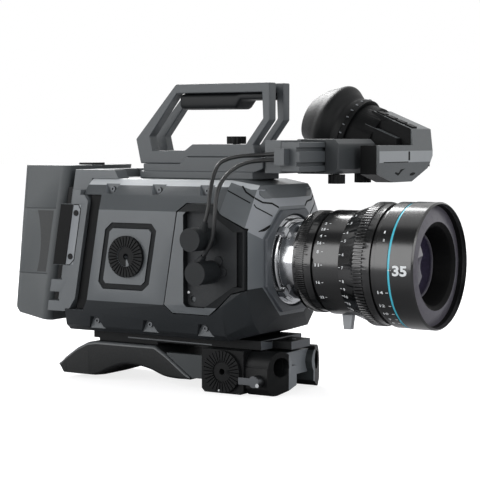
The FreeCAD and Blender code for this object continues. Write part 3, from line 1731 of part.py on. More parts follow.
def eye_seat():
    """Place and turn of the pieces on the eye's axis, which points back and up."""
    return (S.eye_x, S.eye_y, S.eye_z), ((0, 1, 0), 180 + S.evf_tilt)


def roof_angle():
    """Slope of the viewfinder's roof in degrees."""
    fall = number(S.evf_roof_fall)
    run = number(S.evf_front_x + S.evf_front_plate - S.evf_rear_x)
    return math.degrees(math.atan2(fall, run))


def button_places(name, grow, depth):
    """Boxes for the four keys, square to the sloping roof."""
    angle = roof_angle()
    slope = math.radians(angle)
    boxes = []
    for i in range(4):
        along = S.evf_button_first + S.evf_button_pitch * i - grow
        block = DOC.addObject("Part::Box", f"{name}_{i + 1}")
        bind(block, "Length", S.evf_button_length + dim(grow) * 2)
        bind(block, "Width", S.evf_button_width + dim(grow) * 2)
        bind(block, "Height", depth)
        down = S.evf_button_sink
        place(block, (S.evf_rear_x + along * math.cos(slope) - down * math.sin(slope),
                      S.evf_upper_near + S.evf_button_inset - grow,
                      S.evf_rear_top - along * math.sin(slope) - down * math.cos(slope)),
              ((0, 1, 0), angle))
        boxes.append(block)
    return boxes


def evf_buttons():
    """Four keys in the roof of the viewfinder."""
    depth = S.evf_button_sink + S.evf_button_stand - 1
    keys = button_places("evf_key", 0, depth)
    slope = math.radians(roof_angle())
    for i, key in enumerate(keys):
        key.Label = f"evf_button_{i + 1}"
        along = S.evf_button_first + S.evf_button_pitch * i
        down = S.evf_button_sink - 1
        bind(key, "Placement.Base.x",
             S.evf_rear_x + along * math.cos(slope) - down * math.sin(slope))
        bind(key, "Placement.Base.z",
             S.evf_rear_top - along * math.sin(slope) - down * math.cos(slope))
    return keys


def evf_diopter_ring():
    """Ring behind the viewfinder that focuses the eyepiece."""
    return turned("evf_diopter_ring", [
        (0, S.tube_radius + S.fit), (S.diopter_length, S.tube_radius + S.fit),
        (S.diopter_length, S.diopter_radius), (0, S.diopter_radius)], *eye_seat())


def evf_eyecup():
    """Soft eyecup: a dome of shifted circles round a hollow that opens to the eye."""
    at, turn = eye_seat()
    outer, inner = [], []
    start = S.diopter_length + S.seam
    for along, top, low in CUP_SECTIONS:
        middle, radius = (low - top) / 2, (top + low) / 2
        outer.append((start + along, Circle(0, middle, radius)))
        if along > 10:
            inner.append((start + along, Circle(0, middle, radius - S.cup_wall)))
    cup = loft("evf_cup_outer", "YZ", outer)
    cup.Ruled = False
    hollow = loft("evf_cup_hollow", "YZ", inner)
    hollow.Ruled = False
    end = start + CUP_SECTIONS[-1][0]
    tail = rod("evf_cup_tail", "X", (end - S.seam, 0, 0), S.cup_end_radius - S.cup_wall, S.seam * 4)
    bore = rod("evf_cup_bore", "X", (start - S.seam, 0, 0), S.eyepiece_radius, end - start)
    cup = cut("evf_eyecup", cup, [hollow, bore, tail])
    place(cup, at, turn)
    return cup


def evf_eyepiece():
    """Rear lens of the viewfinder, at the bottom of the eyecup."""
    start = S.diopter_length + S.seam
    return turned("evf_eyepiece", [
        (start, 0), (start + S.eyepiece_depth, 0),
        (start + S.eyepiece_depth, S.eyepiece_radius - S.fit), (start, S.eyepiece_radius - S.fit),
    ], *eye_seat())


# Lens, its stations measured forward from the flange


def lens_seat():
    """Where the lens stands: on the flange, on the lens axis."""
    return (S.flange_x, 0, S.axis_height)


def lens_mount_barrel():
    """Chromed rear of the lens with the flange and the tube into the camera."""
    return turned("lens_mount_barrel", [
        (-S.lens_tube, S.lens_bore), (S.iris_start, S.lens_bore), (S.iris_start, S.lens_rear_radius),
        (S.lens_rear_start, S.lens_rear_radius), (S.lens_rear_start, S.lens_flange_radius),
        (0, S.lens_flange_radius), (0, S.lens_tube_radius), (-S.lens_tube, S.lens_tube_radius),
    ], lens_seat())


def lens_barrel():
    """Fixed barrel between and in front of the rings, with a baffle round the deep front glass."""
    core = S.ring_bore - S.fit
    return turned("lens_barrel", [
        (S.iris_start, S.lens_bore),
        (S.front_x - S.glass_depth - S.glass_thickness, S.lens_bore),
        (S.front_x - S.glass_depth - S.glass_thickness, S.glass_seat_radius),
        (S.front_x - S.glass_depth, S.glass_seat_radius),
        (S.front_x - S.hood_bore_depth, S.hood_bore),
        (S.front_x - S.hood_rise, S.hood_radius),
        (S.front_x - S.hood_depth, S.front_cone_radius),
        (S.front_x, S.front_radius - S.front_lip),
        (S.front_x - S.front_lip, S.front_radius),
        (S.accent_end, S.front_radius),
        (S.accent_end, S.bell_radius - S.accent_depth),
        (S.accent_start, S.bell_radius - S.accent_depth),
        (S.accent_start, S.bell_radius),
        (S.bell_start, S.bell_radius),
        (S.bell_start, S.bell_groove_radius),
        (S.focus_end + S.ring_gap, S.bell_groove_radius),
        (S.focus_end + S.ring_gap, core),
        (S.cone_start - S.ring_gap, core),
        (S.cone_start - S.ring_gap, S.barrel_radius),
        (S.scale_start, S.barrel_radius),
        (S.scale_start, S.groove_radius),
        (S.iris_end + S.ring_gap, S.groove_radius),
        (S.iris_end + S.ring_gap, core),
        (S.iris_start, core),
    ], lens_seat())


def toothed_ring(label, profile, tip, start, end, count):
    """A turned ring with gear teeth between two stations."""
    piece = turned(label, profile, lens_seat())
    root, over = tip - S.tooth_depth, tip + S.seam
    half = tip * (math.pi / 2) / count
    notch = piece.pocket("YZ", [[
        (-half * 0.55, root), (half * 0.55, root), (half * 1.15, over), (-half * 1.15, over),
    ]], start, end)
    piece.round_pattern(notch, "X_Axis", count)
    return piece


def iris_ring():
    """Aperture ring with a band, gear teeth and a scale band."""
    start, end = S.iris_start + S.ring_gap, S.iris_end
    return toothed_ring("iris_ring", [
        (start, S.ring_bore), (end, S.ring_bore), (end, S.iris_band_radius),
        (S.iris_teeth_end, S.iris_band_radius), (S.iris_teeth_end, S.iris_radius),
        (S.iris_teeth_start, S.iris_radius), (S.iris_teeth_start, S.iris_band_radius),
        (start, S.iris_band_radius),
    ], S.iris_radius, S.iris_teeth_start, S.iris_teeth_end, S.iris_tooth_count)


def focus_ring():
    """Focus ring: a conical scale, gear teeth and a band."""
    start, end = S.cone_start, S.focus_end
    return toothed_ring("focus_ring", [
        (start, S.ring_bore), (end, S.ring_bore), (end, S.focus_root_radius),
        (S.focus_teeth_end, S.focus_root_radius), (S.focus_teeth_end, S.focus_radius),
        (S.focus_teeth_start, S.focus_radius), (S.focus_teeth_start, S.focus_root_radius),
        (start, S.focus_scale_radius),
    ], S.focus_radius, S.focus_teeth_start, S.focus_teeth_end, S.focus_tooth_count)


def front_element():
    """Front glass of the lens, curved to the front."""
    front = S.front_x - S.glass_depth
    return turned("front_element", [
        (front - S.glass_thickness + S.fit, 0),
        (front + S.glass_bulge, 0),
        (front + S.glass_bulge * 0.9, S.glass_seat_radius * 0.32),
        (front + S.glass_bulge * 0.6, S.glass_seat_radius * 0.63),
        (front, S.glass_seat_radius - S.fit),
        (front - S.glass_thickness + S.fit, S.glass_seat_radius - S.fit),
    ], lens_seat())


def lens_foot():
    """Support foot under the lens barrel, thin and tapered to its toe."""
    x, z = S.flange_x + S.foot_x - S.foot_length / 2, S.axis_height
    toe = (S.foot_length - S.foot_toe) / 2
    block = prism("lens_foot_block", "XZ", [[
        (x + toe, z - S.foot_drop), (x + toe + S.foot_toe, z - S.foot_drop),
        (x + S.foot_length, z - S.groove_radius), (x, z - S.groove_radius),
    ]], -S.foot_width / 2, S.foot_width / 2)
    return cut("lens_foot", block, [
        rod("lens_foot_saddle", "X", (x - S.seam, 0, z), S.barrel_radius + S.fit,
            S.foot_length + S.seam * 2)])


# Base


def base_plate():
    """Sliding plate under the camera with its front bracket and the strip for the pad."""
    plate = box("base_sheet", S.base_plate_rear, S.base_plate_front, -S.base_plate_half,
                S.base_plate_half, S.base_plate_low, S.keel_low)
    bracket = box("bracket_plate", S.base_plate_front - S.seam, S.bracket_front,
                  -S.bracket_half, S.bracket_half, S.bracket_low, S.bracket_top)
    head = rod("bracket_screw", "Z", ((S.base_plate_front + S.bracket_front) / 2, 0,
                                      S.bracket_top - S.seam), S.screw_head * 1.5, S.screw_head_height)
    strip = box("pad_strip", S.pad_crown_rear, S.pad_crown_front, -S.base_plate_half,
                S.base_plate_half, S.pad_crown_z, S.base_plate_low + S.seam)
    return combine("MultiFuse", "base_plate", [plate, bracket, head, strip])


def shoulder_pad():
    """Soft shoulder pad with rear lobe, arch and front lobe, its edges lifted to both sides."""
    floor = S.base_plate_low
    profile = prism("pad_profile", "XZ", [[
        (S.pad_heel_x, S.pad_heel_z),
        (S.pad_lobe_x - 7, 1),
        (S.pad_lobe_x, 0),
        (S.pad_lobe_front, 0),
        (S.pad_arch_rear - 30, S.pad_arch_z * 0.28),
        (S.pad_arch_rear - 19, S.pad_arch_z * 0.6),
        (S.pad_arch_rear - 10, S.pad_arch_z * 0.83),
        (S.pad_arch_rear, S.pad_arch_z),
        (S.pad_arch_front, S.pad_arch_z),
        (S.pad_arch_front + 14, S.pad_arch_z * 0.84),
        (S.pad_toe_rear, S.pad_toe_z + 1.4),
        (S.pad_toe_x, S.pad_toe_z),
        (S.pad_end_x, S.pad_toe_z + 0.4),
        (S.pad_end_x, S.pad_end_z),
        (S.pad_dip_x, S.pad_dip_z),
        (S.pad_crown_front, S.pad_crown_z),
        (S.pad_crown_rear, S.pad_crown_z),
        (S.pad_tip_x, S.pad_tip_z),
    ]], -S.pad_half, S.pad_half)
    section = prism("pad_section", "YZ", [[
        (-S.pad_floor_half, 0), (S.pad_floor_half, 0), (S.pad_half, S.pad_side_rise),
        (S.pad_half, floor), (-S.pad_half, floor), (-S.pad_half, S.pad_side_rise),
    ]], S.pad_tip_x, S.pad_end_x)
    return combine("MultiCommon", "shoulder_pad", [profile, section])


def base_block():
    """Rosette block of the base with its two arms, tripod hole and rod holes."""
    half, corner = S.block_half, S.block_corner
    piece = Piece("base_block")
    piece.pad("XZ", [[
        (S.block_rear, corner), (S.block_rear + corner, 0), (S.block_front - corner, 0),
        (S.block_front, corner), (S.block_front, S.base_plate_low),
        (S.block_rear, S.base_plate_low),
    ]], -half, half)
    for y0, y1 in ((-S.arm_out, -S.arm_in), (S.arm_in, S.arm_out)):
        piece.pad("XZ", [[
            (S.pad_dip_x + S.arm_gap, S.pad_dip_z), (S.pad_end_x + S.arm_gap, S.pad_end_z),
            (S.block_rear + S.seam, S.pad_end_z), (S.block_rear + S.seam, S.arm_block_top),
            (S.pad_dip_x + S.arm_gap, S.arm_block_top)]], y0, y1)
    piece.pocket("XY", [Circle(0, 0, S.tripod_radius)], 0, S.tripod_depth)
    for y0, y1 in ((-half, S.thread_depth - half), (half - S.thread_depth, half)):
        piece.pocket("XZ", [Circle(S.block_x, S.block_rosette_z, S.rosette_bore)], y0, y1)
    piece.pocket("YZ", [Circle(side * S.rod_half_spacing, S.rod_z, S.rod_radius + S.fit)
                        for side in (-1, 1)], S.block_rear, S.block_front)
    return piece


def rod_clamp():
    """Front clamp for two rods: bosses, bridge and feet, its front slanted back at both ends."""
    bosses = [rod(f"rod_boss_{i + 1}", "X", (S.clamp_rear_x, side * S.rod_half_spacing, S.rod_z),
                  S.boss_radius, S.clamp_front_x - S.clamp_rear_x) for i, side in enumerate((-1, 1))]
    bridge = box("rod_bridge", S.block_front, S.clamp_front_x - S.boss_radius / 2,
                 -S.rod_half_spacing, S.rod_half_spacing, S.clamp_bridge_low, S.clamp_bridge_top)
    feet = [prism(f"rod_foot_{i + 1}", "YZ", [[
        (side * S.clamp_lug_half, S.foot_edge), (side * S.foot_floor_out, 0),
        (side * S.foot_floor_in, 0), (side * root, S.foot_root), (side * root, S.rod_z),
        (side * S.clamp_lug_half, S.rod_z),
    ]], S.clamp_rear_x, S.clamp_front_x) for i, (side, root) in enumerate((
        (-1, S.foot_root_right), (1, S.foot_root_left)))]
    holes = [rod(f"rod_bore_{i + 1}", "X", (S.block_front - S.seam, side * S.rod_half_spacing, S.rod_z),
                 S.rod_radius + S.fit, S.clamp_front_x - S.block_front + S.seam * 2)
             for i, side in enumerate((-1, 1))]
    holes += [rod(f"rod_mouth_{i + 1}", "X", (S.clamp_front_x - S.bore_mouth,
                                              side * S.rod_half_spacing, S.rod_z),
                  S.rod_radius + S.bore_relief, S.bore_mouth + S.seam)
              for i, side in enumerate((-1, 1))]
    far = S.cover_reach
    rear, front, half = S.block_front - S.seam, S.clamp_front_x, S.clamp_slant_half
    end = front - S.clamp_slant
    plan = prism("rod_clamp_plan", "XY", [[
        (rear, -S.clamp_lug_half), (end, -S.clamp_lug_half), (front, -half), (front, half),
        (end, S.clamp_lug_half), (rear, S.clamp_lug_half),
    ]], 0, far)
    body = combine("MultiFuse", "rod_clamp_body", [*bosses, bridge, *feet])
    return cut("rod_clamp", combine("MultiCommon", "rod_clamp_form", [body, plan]), holes)


def rod_lock_lever():
    """Cranked lever on the clamp's right side that locks the rods."""
    piece = Piece("rod_lock_lever", (S.lever_x, -S.clamp_lug_half - S.fit, S.lever_z),
                  ((1, 0, 0), 90))
    piece.pad("XY", [Circle(0, 0, S.lever_radius)], 0, S.lever_stand)
    half = S.lever_half
    piece.pad("XY", [[(-S.lever_arm, -half), (0, -half), (0, half), (-S.lever_arm, half)]],
              S.lever_stand - S.lever_half, S.lever_stand)
    return piece


def rosettes():
    """Three like rosettes: on the right cover and on both sides of the base block."""
    return group("rosettes", [
        rosette("side_rosette", (S.square_x, -S.side_half, S.square_z), -1),
        rosette("right_base_rosette", (S.block_x, -S.block_half, S.block_rosette_z), -1),
        rosette("left_base_rosette", (S.block_x, S.block_half, S.block_rosette_z), 1),
    ])


# Plugs and cords


def strain_relief(name, start, towards, root, tip):
    """Tapered boot between two points."""
    first, last = FreeCAD.Vector(*start), FreeCAD.Vector(*towards)
    boot = DOC.addObject("Part::Feature", name)
    boot.Shape = Part.makeCone(number(root), number(tip), (last - first).Length, first, last - first)
    return boot


def plug(label, x, z, route):
    """Right-angle plug with a neck in the panel and a boot that ends where its cord starts."""
    wall = inside(S.panel_depth) + S.panel_thickness
    root, end = inside(S.plug_sink), S.side_half + S.plug_stand
    neck = rod(f"{label}_neck", "Y", (x, -root, z), S.plug_neck_radius, root - wall)
    head = rod(f"{label}_head", "Y", (x, -end, z), S.plug_radius, end - root)
    first, second = FreeCAD.Vector(*route[0]), FreeCAD.Vector(*route[1])
    back = first - (second - first).normalize() * number(S.boot_length)
    boot = strain_relief(f"{label}_boot", tuple(back), route[0], S.boot_root, S.boot_end)
    return combine("MultiFuse", label, [neck, head, boot])


def cord(label, route):
    """Round cord along straight runs joined by arcs as large as the runs allow."""
    points = [FreeCAD.Vector(*p) for p in route]
    edges, last = [], points[0]
    for i in range(1, len(points) - 1):
        before, after = points[i - 1] - points[i], points[i + 1] - points[i]
        step = 0.45 * min(before.Length, after.Length)
        half_turn = (math.pi - before.getAngle(after)) / 2
        enter = points[i] + before.normalize() * step
        leave = points[i] + after.normalize() * step
        radius = step / math.tan(half_turn)
        inward = (enter + leave) * 0.5 - points[i]
        depth = radius / math.cos(half_turn) - radius
        middle = points[i] + inward.normalize() * depth
        edges.append(Part.LineSegment(last, enter).toShape())
        edges.append(Part.Arc(enter, middle, leave).toShape())
        print(f"{label}: arc {i} radius {radius:.1f}")
        last = leave
    edges.append(Part.LineSegment(last, points[-1]).toShape())
    wire = Part.Wire(edges)
    section = Part.Wire(Part.makeCircle(number(S.cord_radius), points[0], points[1] - points[0]))
    tube = DOC.addObject("Part::Feature", label)
    tube.Shape = wire.makePipeShell([section], True, False)
    expected = wire.Length * math.pi * number(S.cord_radius) ** 2
    print(f"{label}: length {wire.Length:.1f} volume {tube.Shape.Volume:.0f} of {expected:.0f}")
    return tube


def cord_gland():
    """Block on the cross rail's near end that holds both cords in tapered boots."""
    block = box("gland_block", S.gland_x, S.gland_front, -S.gland_out, -S.arm_half,
                S.gland_low, S.gland_top)
    boots = []
    for i, route in enumerate((UPPER_CORD, LOWER_CORD)):
        end, before = FreeCAD.Vector(*route[-1]), FreeCAD.Vector(*route[-2])
        inside = end + (end - before).normalize() * number(S.boot_sink)
        boots.append(strain_relief(f"gland_boot_{i + 1}", tuple(inside), route[-1],
                                   S.gland_boot, S.boot_end))
    return combine("MultiFuse", "cord_gland", [block] + boots)


CUP_SECTIONS = [(0, 31.7, 36.9), (5, 32.9, 36.3), (11, 35.2, 36.6), (19, 39.6, 38.4), (29, 34.9, 33.1),
                (39, 27.9, 26.7), (46, 20.6, 22.8)]
UPPER_CORD = [(-3.2, -75.0, 146.5), (-0.2, -75.0, 155.5), (-1.6, -70.0, 172.5), (-3.5, -58.0, 192.0),
              (-3.0, -45.0, 197.5), (3.6, -32.0, 200.3), (18.3, -22.0, 201.2), (31.5, -20.5, 202.0)]
LOWER_CORD = [(-4.6, -75.0, 117.8), (5.0, -77.5, 129.0), (9.3, -80.0, 146.0), (9.2, -78.5, 162.0),
              (9.0, -74.0, 175.0), (10.8, -64.0, 185.5), (12.5, -51.0, 191.8), (15.5, -37.0, 195.4),
              (21.5, -26.0, 196.6), (31.5, -21.5, 197.0)]

NODES = [
    main_housing, right_side_cover, left_side_cover, top_cover, mount_plate, square_bezel,
    connector_bezel, connector_panel, cover_screws, camera_mount, mount_ring, sensor_block,
    main_board, cooling_fan, record_button, rear_channel, rear_frame, port_strip,
    battery_plate, battery_pack, battery_latch, monitor_door, monitor_screen, monitor_hinge,
    handle_grip, handle_base, handle_knob, evf_arm, evf_rail, evf_clamp, evf_body, evf_front,
    evf_diopter_ring, evf_eyecup, evf_eyepiece, lens_mount_barrel, lens_barrel, iris_ring,
    focus_ring, front_element, lens_foot, base_plate, shoulder_pad, base_block, rosettes,
    rod_clamp, rod_lock_lever, cord_gland,
]


def build():
    """Make every piece and give them back."""
    pieces = [make() for make in NODES]
    pieces.append(handle_frame("handle_frame_right", -S.handle_near_out, -S.handle_near_in))
    pieces.append(handle_frame("handle_frame_left", S.handle_far_in, S.handle_far_out))
    pieces.append(thumbscrew("slide_thumbscrew", S.thumb_near_y))
    pieces.append(thumbscrew("tilt_thumbscrew", S.thumb_far_y))
    pieces.extend(evf_buttons())
    pieces.append(plug("plug_upper", S.plug_upper_x, S.plug_upper_z, UPPER_CORD))
    pieces.append(plug("plug_lower", S.plug_lower_x, S.plug_lower_z, LOWER_CORD))
    pieces.append(cord("cord_upper", UPPER_CORD))
    pieces.append(cord("cord_lower", LOWER_CORD))
    return [getattr(piece, "body", piece) for piece in pieces]


def check(pieces):
    """Stop on any failed object and on any piece without a sound solid."""
    faults = [f"{o.Label}: {o.State}" for o in DOC.Objects
              if "Invalid" in o.State or "Error" in o.State]
    for piece in pieces:
        shape = piece.Shape
        if shape.isNull() or not shape.isValid() or not shape.Solids:
            faults.append(f"{piece.Label}: no sound solid")
    if faults:
        raise ValueError("\n".join(faults))


def main():
    """Build the camera and write one file for each piece."""
    os.makedirs("parts", exist_ok=True)
    fill_sheet()
    pieces = build()
    DOC.recompute()
    check(pieces)
    for piece in pieces:
        piece.Shape.exportStep(f"parts/{piece.Label}.step")
    print(f"{len(pieces)} pieces, {sum(len(p.Shape.Solids) for p in pieces)} solids")


main()
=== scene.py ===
"""Looks of a digital cinema camera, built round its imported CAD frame.

Everything is in the frame of the CAD part: +X forward along the lens, +Y to the camera's left,
+Z up, with the origin in the mouth of the tripod hole. Blender's objects are in metres, and the
points and sizes that are typed for trim and soft forms are in millimetres.
"""
from __future__ import annotations

import json
import logging
import math
from collections.abc import Callable
from dataclasses import dataclass, field
from enum import IntEnum

import bmesh
import bpy
import numpy as np
from bpy.types import ID, Material, Mesh, Node, NodeSocket, NodeTree, Object
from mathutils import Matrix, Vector
from mathutils.bvhtree import BVHTree

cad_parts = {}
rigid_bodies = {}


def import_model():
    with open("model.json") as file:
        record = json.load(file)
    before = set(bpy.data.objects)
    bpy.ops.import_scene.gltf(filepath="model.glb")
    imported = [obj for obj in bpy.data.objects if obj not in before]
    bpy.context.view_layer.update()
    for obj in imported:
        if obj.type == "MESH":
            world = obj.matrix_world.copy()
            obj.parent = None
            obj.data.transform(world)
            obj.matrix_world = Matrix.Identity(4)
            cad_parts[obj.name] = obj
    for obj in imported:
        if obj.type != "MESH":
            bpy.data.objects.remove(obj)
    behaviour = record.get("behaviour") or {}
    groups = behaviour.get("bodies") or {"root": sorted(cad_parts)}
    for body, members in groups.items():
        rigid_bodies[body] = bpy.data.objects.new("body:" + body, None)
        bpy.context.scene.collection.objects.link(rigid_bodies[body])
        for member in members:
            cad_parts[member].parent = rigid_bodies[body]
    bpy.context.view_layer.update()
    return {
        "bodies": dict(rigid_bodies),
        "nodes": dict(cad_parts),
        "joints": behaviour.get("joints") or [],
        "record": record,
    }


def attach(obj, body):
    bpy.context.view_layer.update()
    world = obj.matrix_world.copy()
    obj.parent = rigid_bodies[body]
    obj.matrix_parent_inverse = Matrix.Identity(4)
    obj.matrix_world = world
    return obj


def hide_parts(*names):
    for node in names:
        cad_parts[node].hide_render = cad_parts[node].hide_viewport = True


LOG = logging.getLogger("camera")
MM = 0.001
# Height of the lens axis and station of the lens flange.
AXIS_Z, FLANGE_X = 112.0, 37.0
# Edges over this angle are sharp on a copy of a CAD node, and over the other one on a new piece.
CREASE, SOFT_CREASE = math.radians(30), math.radians(35)
# How deep flat trim is sunk in its surface, and how far ink stands proud of it and reaches in.
TRIM_SUNK, INK_PROUD, INK_SUNK = 0.3, 0.06, 0.2
# Size of the clouds in a finish's colour, and of those in a glass's polish.
CLOUD, GLASS_CLOUD = 35 * MM, 60 * MM
WHITE = (1, 1, 1, 1)
# Least part of a face's unit normal along an axis for the face to look that way.
FACING = 0.6
Frame = dict
Array = np.ndarray
Point = tuple[float, float, float]
Line = list[Point]
Numbers = tuple[float, ...]
Pairs = tuple[tuple[float, float], ...]
Scale = tuple[tuple[str, float], ...]
Faces = list[list[int]]
Region = Callable[[Array, Array], Array]
Radius = Callable[[Array], Array]


def linear(hex_colour: str) -> Numbers:
    """Turn an sRGB hex colour into linear light.

    Args:
        hex_colour: Six hex digits, with or without a leading #.

    Returns:
        Red, green, blue and a full alpha as Blender's sockets take them.
    """
    digits = hex_colour.lstrip("#")
    values = [int(digits[i:i + 2], 16) / 255 for i in (0, 2, 4)]
    lin = [v / 12.92 if v <= 0.04045 else ((v + 0.055) / 1.055) ** 2.4 for v in values]
    return *lin, 1.0


def add_node(tree: NodeTree, kind: str, inputs: dict | None = None,
             **settings: object) -> Node:
    """Add one shader node, set its properties and feed its sockets.

    Args:
        tree: The tree that gets the node.
        kind: The node's type without ShaderNode.
        inputs: Socket name or number to a value, an output socket, or a node's first output.
        **settings: Properties of the node.

    Returns:
        The new node.
    """
    made = tree.nodes.new(f"ShaderNode{kind}")
    for name, value in settings.items():
        setattr(made, name, value)
    for name, value in (inputs or {}).items():
        value = value.outputs[0] if isinstance(value, Node) else value
        if isinstance(value, NodeSocket):
            tree.links.new(value, made.inputs[name])
        else:
            made.inputs[name].default_value = value
    return made


def clear_tree(owner: ID) -> NodeTree:
    """Give a material or a world an empty node tree."""
    owner.use_nodes = True
    owner.node_tree.nodes.clear()
    return owner.node_tree


def make_material(name: str, fill: Callable[[NodeTree], None]) -> Material:
    """Give back the material of this name, made and filled if it isn't there yet.

    Args:
        name: The material's name.
        fill: Puts the nodes in its empty tree.

    Returns:
        The one material of this name.
    """
    found = bpy.data.materials.get(name)
    if found is None:
        found = bpy.data.materials.new(name)
        fill(clear_tree(found))
    return found


def add_object(name: str, data: ID) -> Object:
    """Make an object with this data in the scene."""
    made = bpy.data.objects.new(name, data)
    bpy.context.scene.collection.objects.link(made)
    return made


def between(values: Array, low: float, high: float) -> Array:
    """True where a value lies between two limits."""
    return (values > low) & (values < high)


def grid_of(*axes: Array) -> Array:
    """Spread X, Y and Z over one shape and stack them as points."""
    return np.stack(np.broadcast_arrays(*axes), axis=-1)


def full_turn(count: int) -> Array:
    """Angles of a full turn in equal steps."""
    return np.linspace(0, 2 * math.pi, count + 1)[:-1]


def rear_plane(height: float | Array) -> float | Array:
    """X of the body's rear plane at a height: it leans back by 14 mm in 79.5 mm."""
    return -120 + (height - 153.5) * 14 / 79.5


def mirrored(points: Line, side: int) -> Line:
    """Points of the right side for side 1, and of the left side for side -1."""
    return [(x, y * side, z) for x, y, z in points]


@dataclass(frozen=True)
class Finish:
    """One opaque finish, named for its real material.

    Attributes:
        name: What the material is and how its surface was made.
        colour: Main sRGB colour.
        second: Colour of the cloudy variation.
        roughness: Middle roughness.
        spread: How far the roughness moves to each side.
        grain: Size of the surface's grain in millimetres.
        relief: Height of the grain in millimetres.
        specular: Specular level of a coated or moulded surface.
        metallic: 1 for a bare metal.
    """

    name: str
    colour: str
    second: str
    roughness: float
    spread: float = 0.05
    grain: float = 1.0
    relief: float = 0.02
    specular: float = 0.5
    metallic: float = 0.0

    def material(self) -> Material:
        """The finish's node material."""
        return make_material(self.name, self.fill)

    def fill(self, tree: NodeTree) -> None:
        """Mix the colours by soft clouds, and let a fine grain set roughness and relief."""
        place = add_node(tree, "TexCoord").outputs["Object"]
        cloud = add_node(tree, "TexNoise", {"Vector": place, "Scale": 1 / CLOUD, "Detail": 3.0})
        fine = add_node(tree, "TexNoise", {
            "Vector": place, "Scale": 1 / (self.grain * MM), "Detail": 2.0})
        mixed = add_node(tree, "Mix", {
            "Factor": cloud, 6: linear(self.colour), 7: linear(self.second)},
            data_type="RGBA")
        rough = add_node(tree, "MapRange", {
            0: fine, 1: 0.3, 2: 0.7,
            3: self.roughness - self.spread, 4: self.roughness + self.spread})
        relief = add_node(tree, "Bump", {
            "Height": fine, "Distance": self.relief * MM, "Strength": 1.0})
        shader = add_node(tree, "BsdfPrincipled", {
            "Base Color": mixed.outputs[2], "Roughness": rough,
            "Normal": relief, "Metallic": self.metallic,
            "Specular IOR Level": self.specular})
        add_node(tree, "OutputMaterial", {"Surface": shader})


@dataclass(frozen=True)
class CoatedGlass:
    """Dark optical glass under a clear coat, whose polish varies in wide clouds."""

    name: str
    colour: str
    roughness: float = 0.03
    duller: float = 1.6
    specular: float = 0.7
    coat_roughness: float = 0.02

    def material(self) -> Material:
        """The glass's node material."""
        return make_material(self.name, self.fill)

    def fill(self, tree: NodeTree) -> None:
        """Spread the roughness up to the duller polish by the clouds."""
        place = add_node(tree, "TexCoord").outputs["Object"]
        cloud = add_node(tree, "TexNoise", {
            "Vector": place, "Scale": 1 / GLASS_CLOUD, "Detail": 1.0})
        rough = add_node(tree, "MapRange", {
            0: cloud, 3: self.roughness, 4: self.roughness * self.duller})
        shader = add_node(tree, "BsdfPrincipled", {
            "Base Color": linear(self.colour), "Roughness": rough,
            "Specular IOR Level": self.specular, "Coat Weight": 1.0,
            "Coat Roughness": self.coat_roughness})
        add_node(tree, "OutputMaterial", {"Surface": shader})


Look = Finish | CoatedGlass

# Stove-dried paint on magnesium: satin, a fine grain breaks its highlights up.
HOUSING_PAINT = Finish("powder_coated_magnesium", "#595d60", "#4b4f52", 0.42, 0.06, 1.1)
# Upper chamfer of the covers: painted shade, a darker grey in place of the shade it lies in.
UPPER_CHAMFER_SHADE = Finish("painted_shade_upper_chamfer", "#3d4144", "#393d40", 0.46, 0.06, 1.1,
                       specular=0.3)
# Top edge of the covers: a painted highlight, light grey where it catches the light from above.
EDGE_HIGHLIGHT = Finish("painted_highlight_cover_edge", "#a9adb0", "#a1a5a8", 0.34, 0.05, 1.1, 0.01)
# Casting behind the base's rosettes, and the bridge but its front: grey beside the black blocks,
# painted light where the block's rear lies in shade.
BASE_GREY_AND_LIGHT = Finish("grey_casting_and_painted_light", "#34383a", "#303436", 0.45, specular=0.35)
# Front of the bridge between the rods: the lightest part of the base, painted light where it faces
# the lamps.
BRIDGE_FRONT_LIGHT = Finish("painted_light_bridge_front", "#757a7f", "#6f7479", 0.42)
# The finder's clamp: dark beside its lighter rail.
CLAMP_GREY = Finish("dark_grey_clamp", "#3c3f41", "#383b3d", 0.45, 0.05, 1.0, 0.01, specular=0.3)
# Lower chamfer, turned to the floor, and the nose's underside: painted shade, nearly black.
LOWER_CHAMFER_SHADE = Finish("painted_shade_lower_chamfer", "#24272a", "#202325", 0.5, 0.06, 1.1,
                       specular=0.25)
# Front facets of the nose: painted light, the housing's grey made brighter where they face the
# light.
NOSE_FACET_LIGHT = Finish("painted_light_nose_facet", "#5f6468", "#595d61", 0.4, 0.06, 1.1)
# Two small facets high on the nose, turned to the light.
NOSE_BRIGHT = Finish("bright_nose_facet", "#84888d", "#7d8186", 0.36, 0.05, 1.1)
# Plates round the mount: the housing's paint a shade darker.
NOSE_PAINT = Finish("powder_coated_aluminium_dark", "#4c5055", "#474b50", 0.42, 0.06, 1.1)
# Grainy anti-slip paint of the side frame: it hardly shines. On the connector bezel's inner walls
# and its rim beside the nose, the same dark grey is painted shade.
BAY_COAT_AND_SHADE = Finish("dark_coat_and_painted_shade", "#191b1d", "#151718", 0.55, 0.08, 1.3, 0.05,
                   specular=0.15)
# Floor of the connector bay: that coat a little lighter than the painted shade of its walls.
BAY_FLOOR = Finish("textured_bay_floor", "#2b2d2f", "#27292b", 0.55, 0.08, 1.3, 0.04,
                   specular=0.25)
# Light grey plate beside the dark socket cover. The same grey on the dioptre ring's ribs is their
# painted highlight.
PLATE_GREY_AND_HIGHLIGHT = Finish("light_grey_plate_and_rib_highlight", "#74787c", "#6d7175", 0.42, 0.05, 1.0, 0.015)
# Anodised handle: a shade darker than the body, with a finer grain.
HANDLE_GREY = Finish("grey_anodised_aluminium", "#474b4e", "#43474a", 0.48, 0.05, 0.9, 0.01)
# Hard anodised aluminium: near black with a faint satin sheen.
BLACK_ANODISED = Finish("black_anodised_aluminium", "#131415", "#101112", 0.45, 0.05, 0.9, 0.01,
                        specular=0.14)
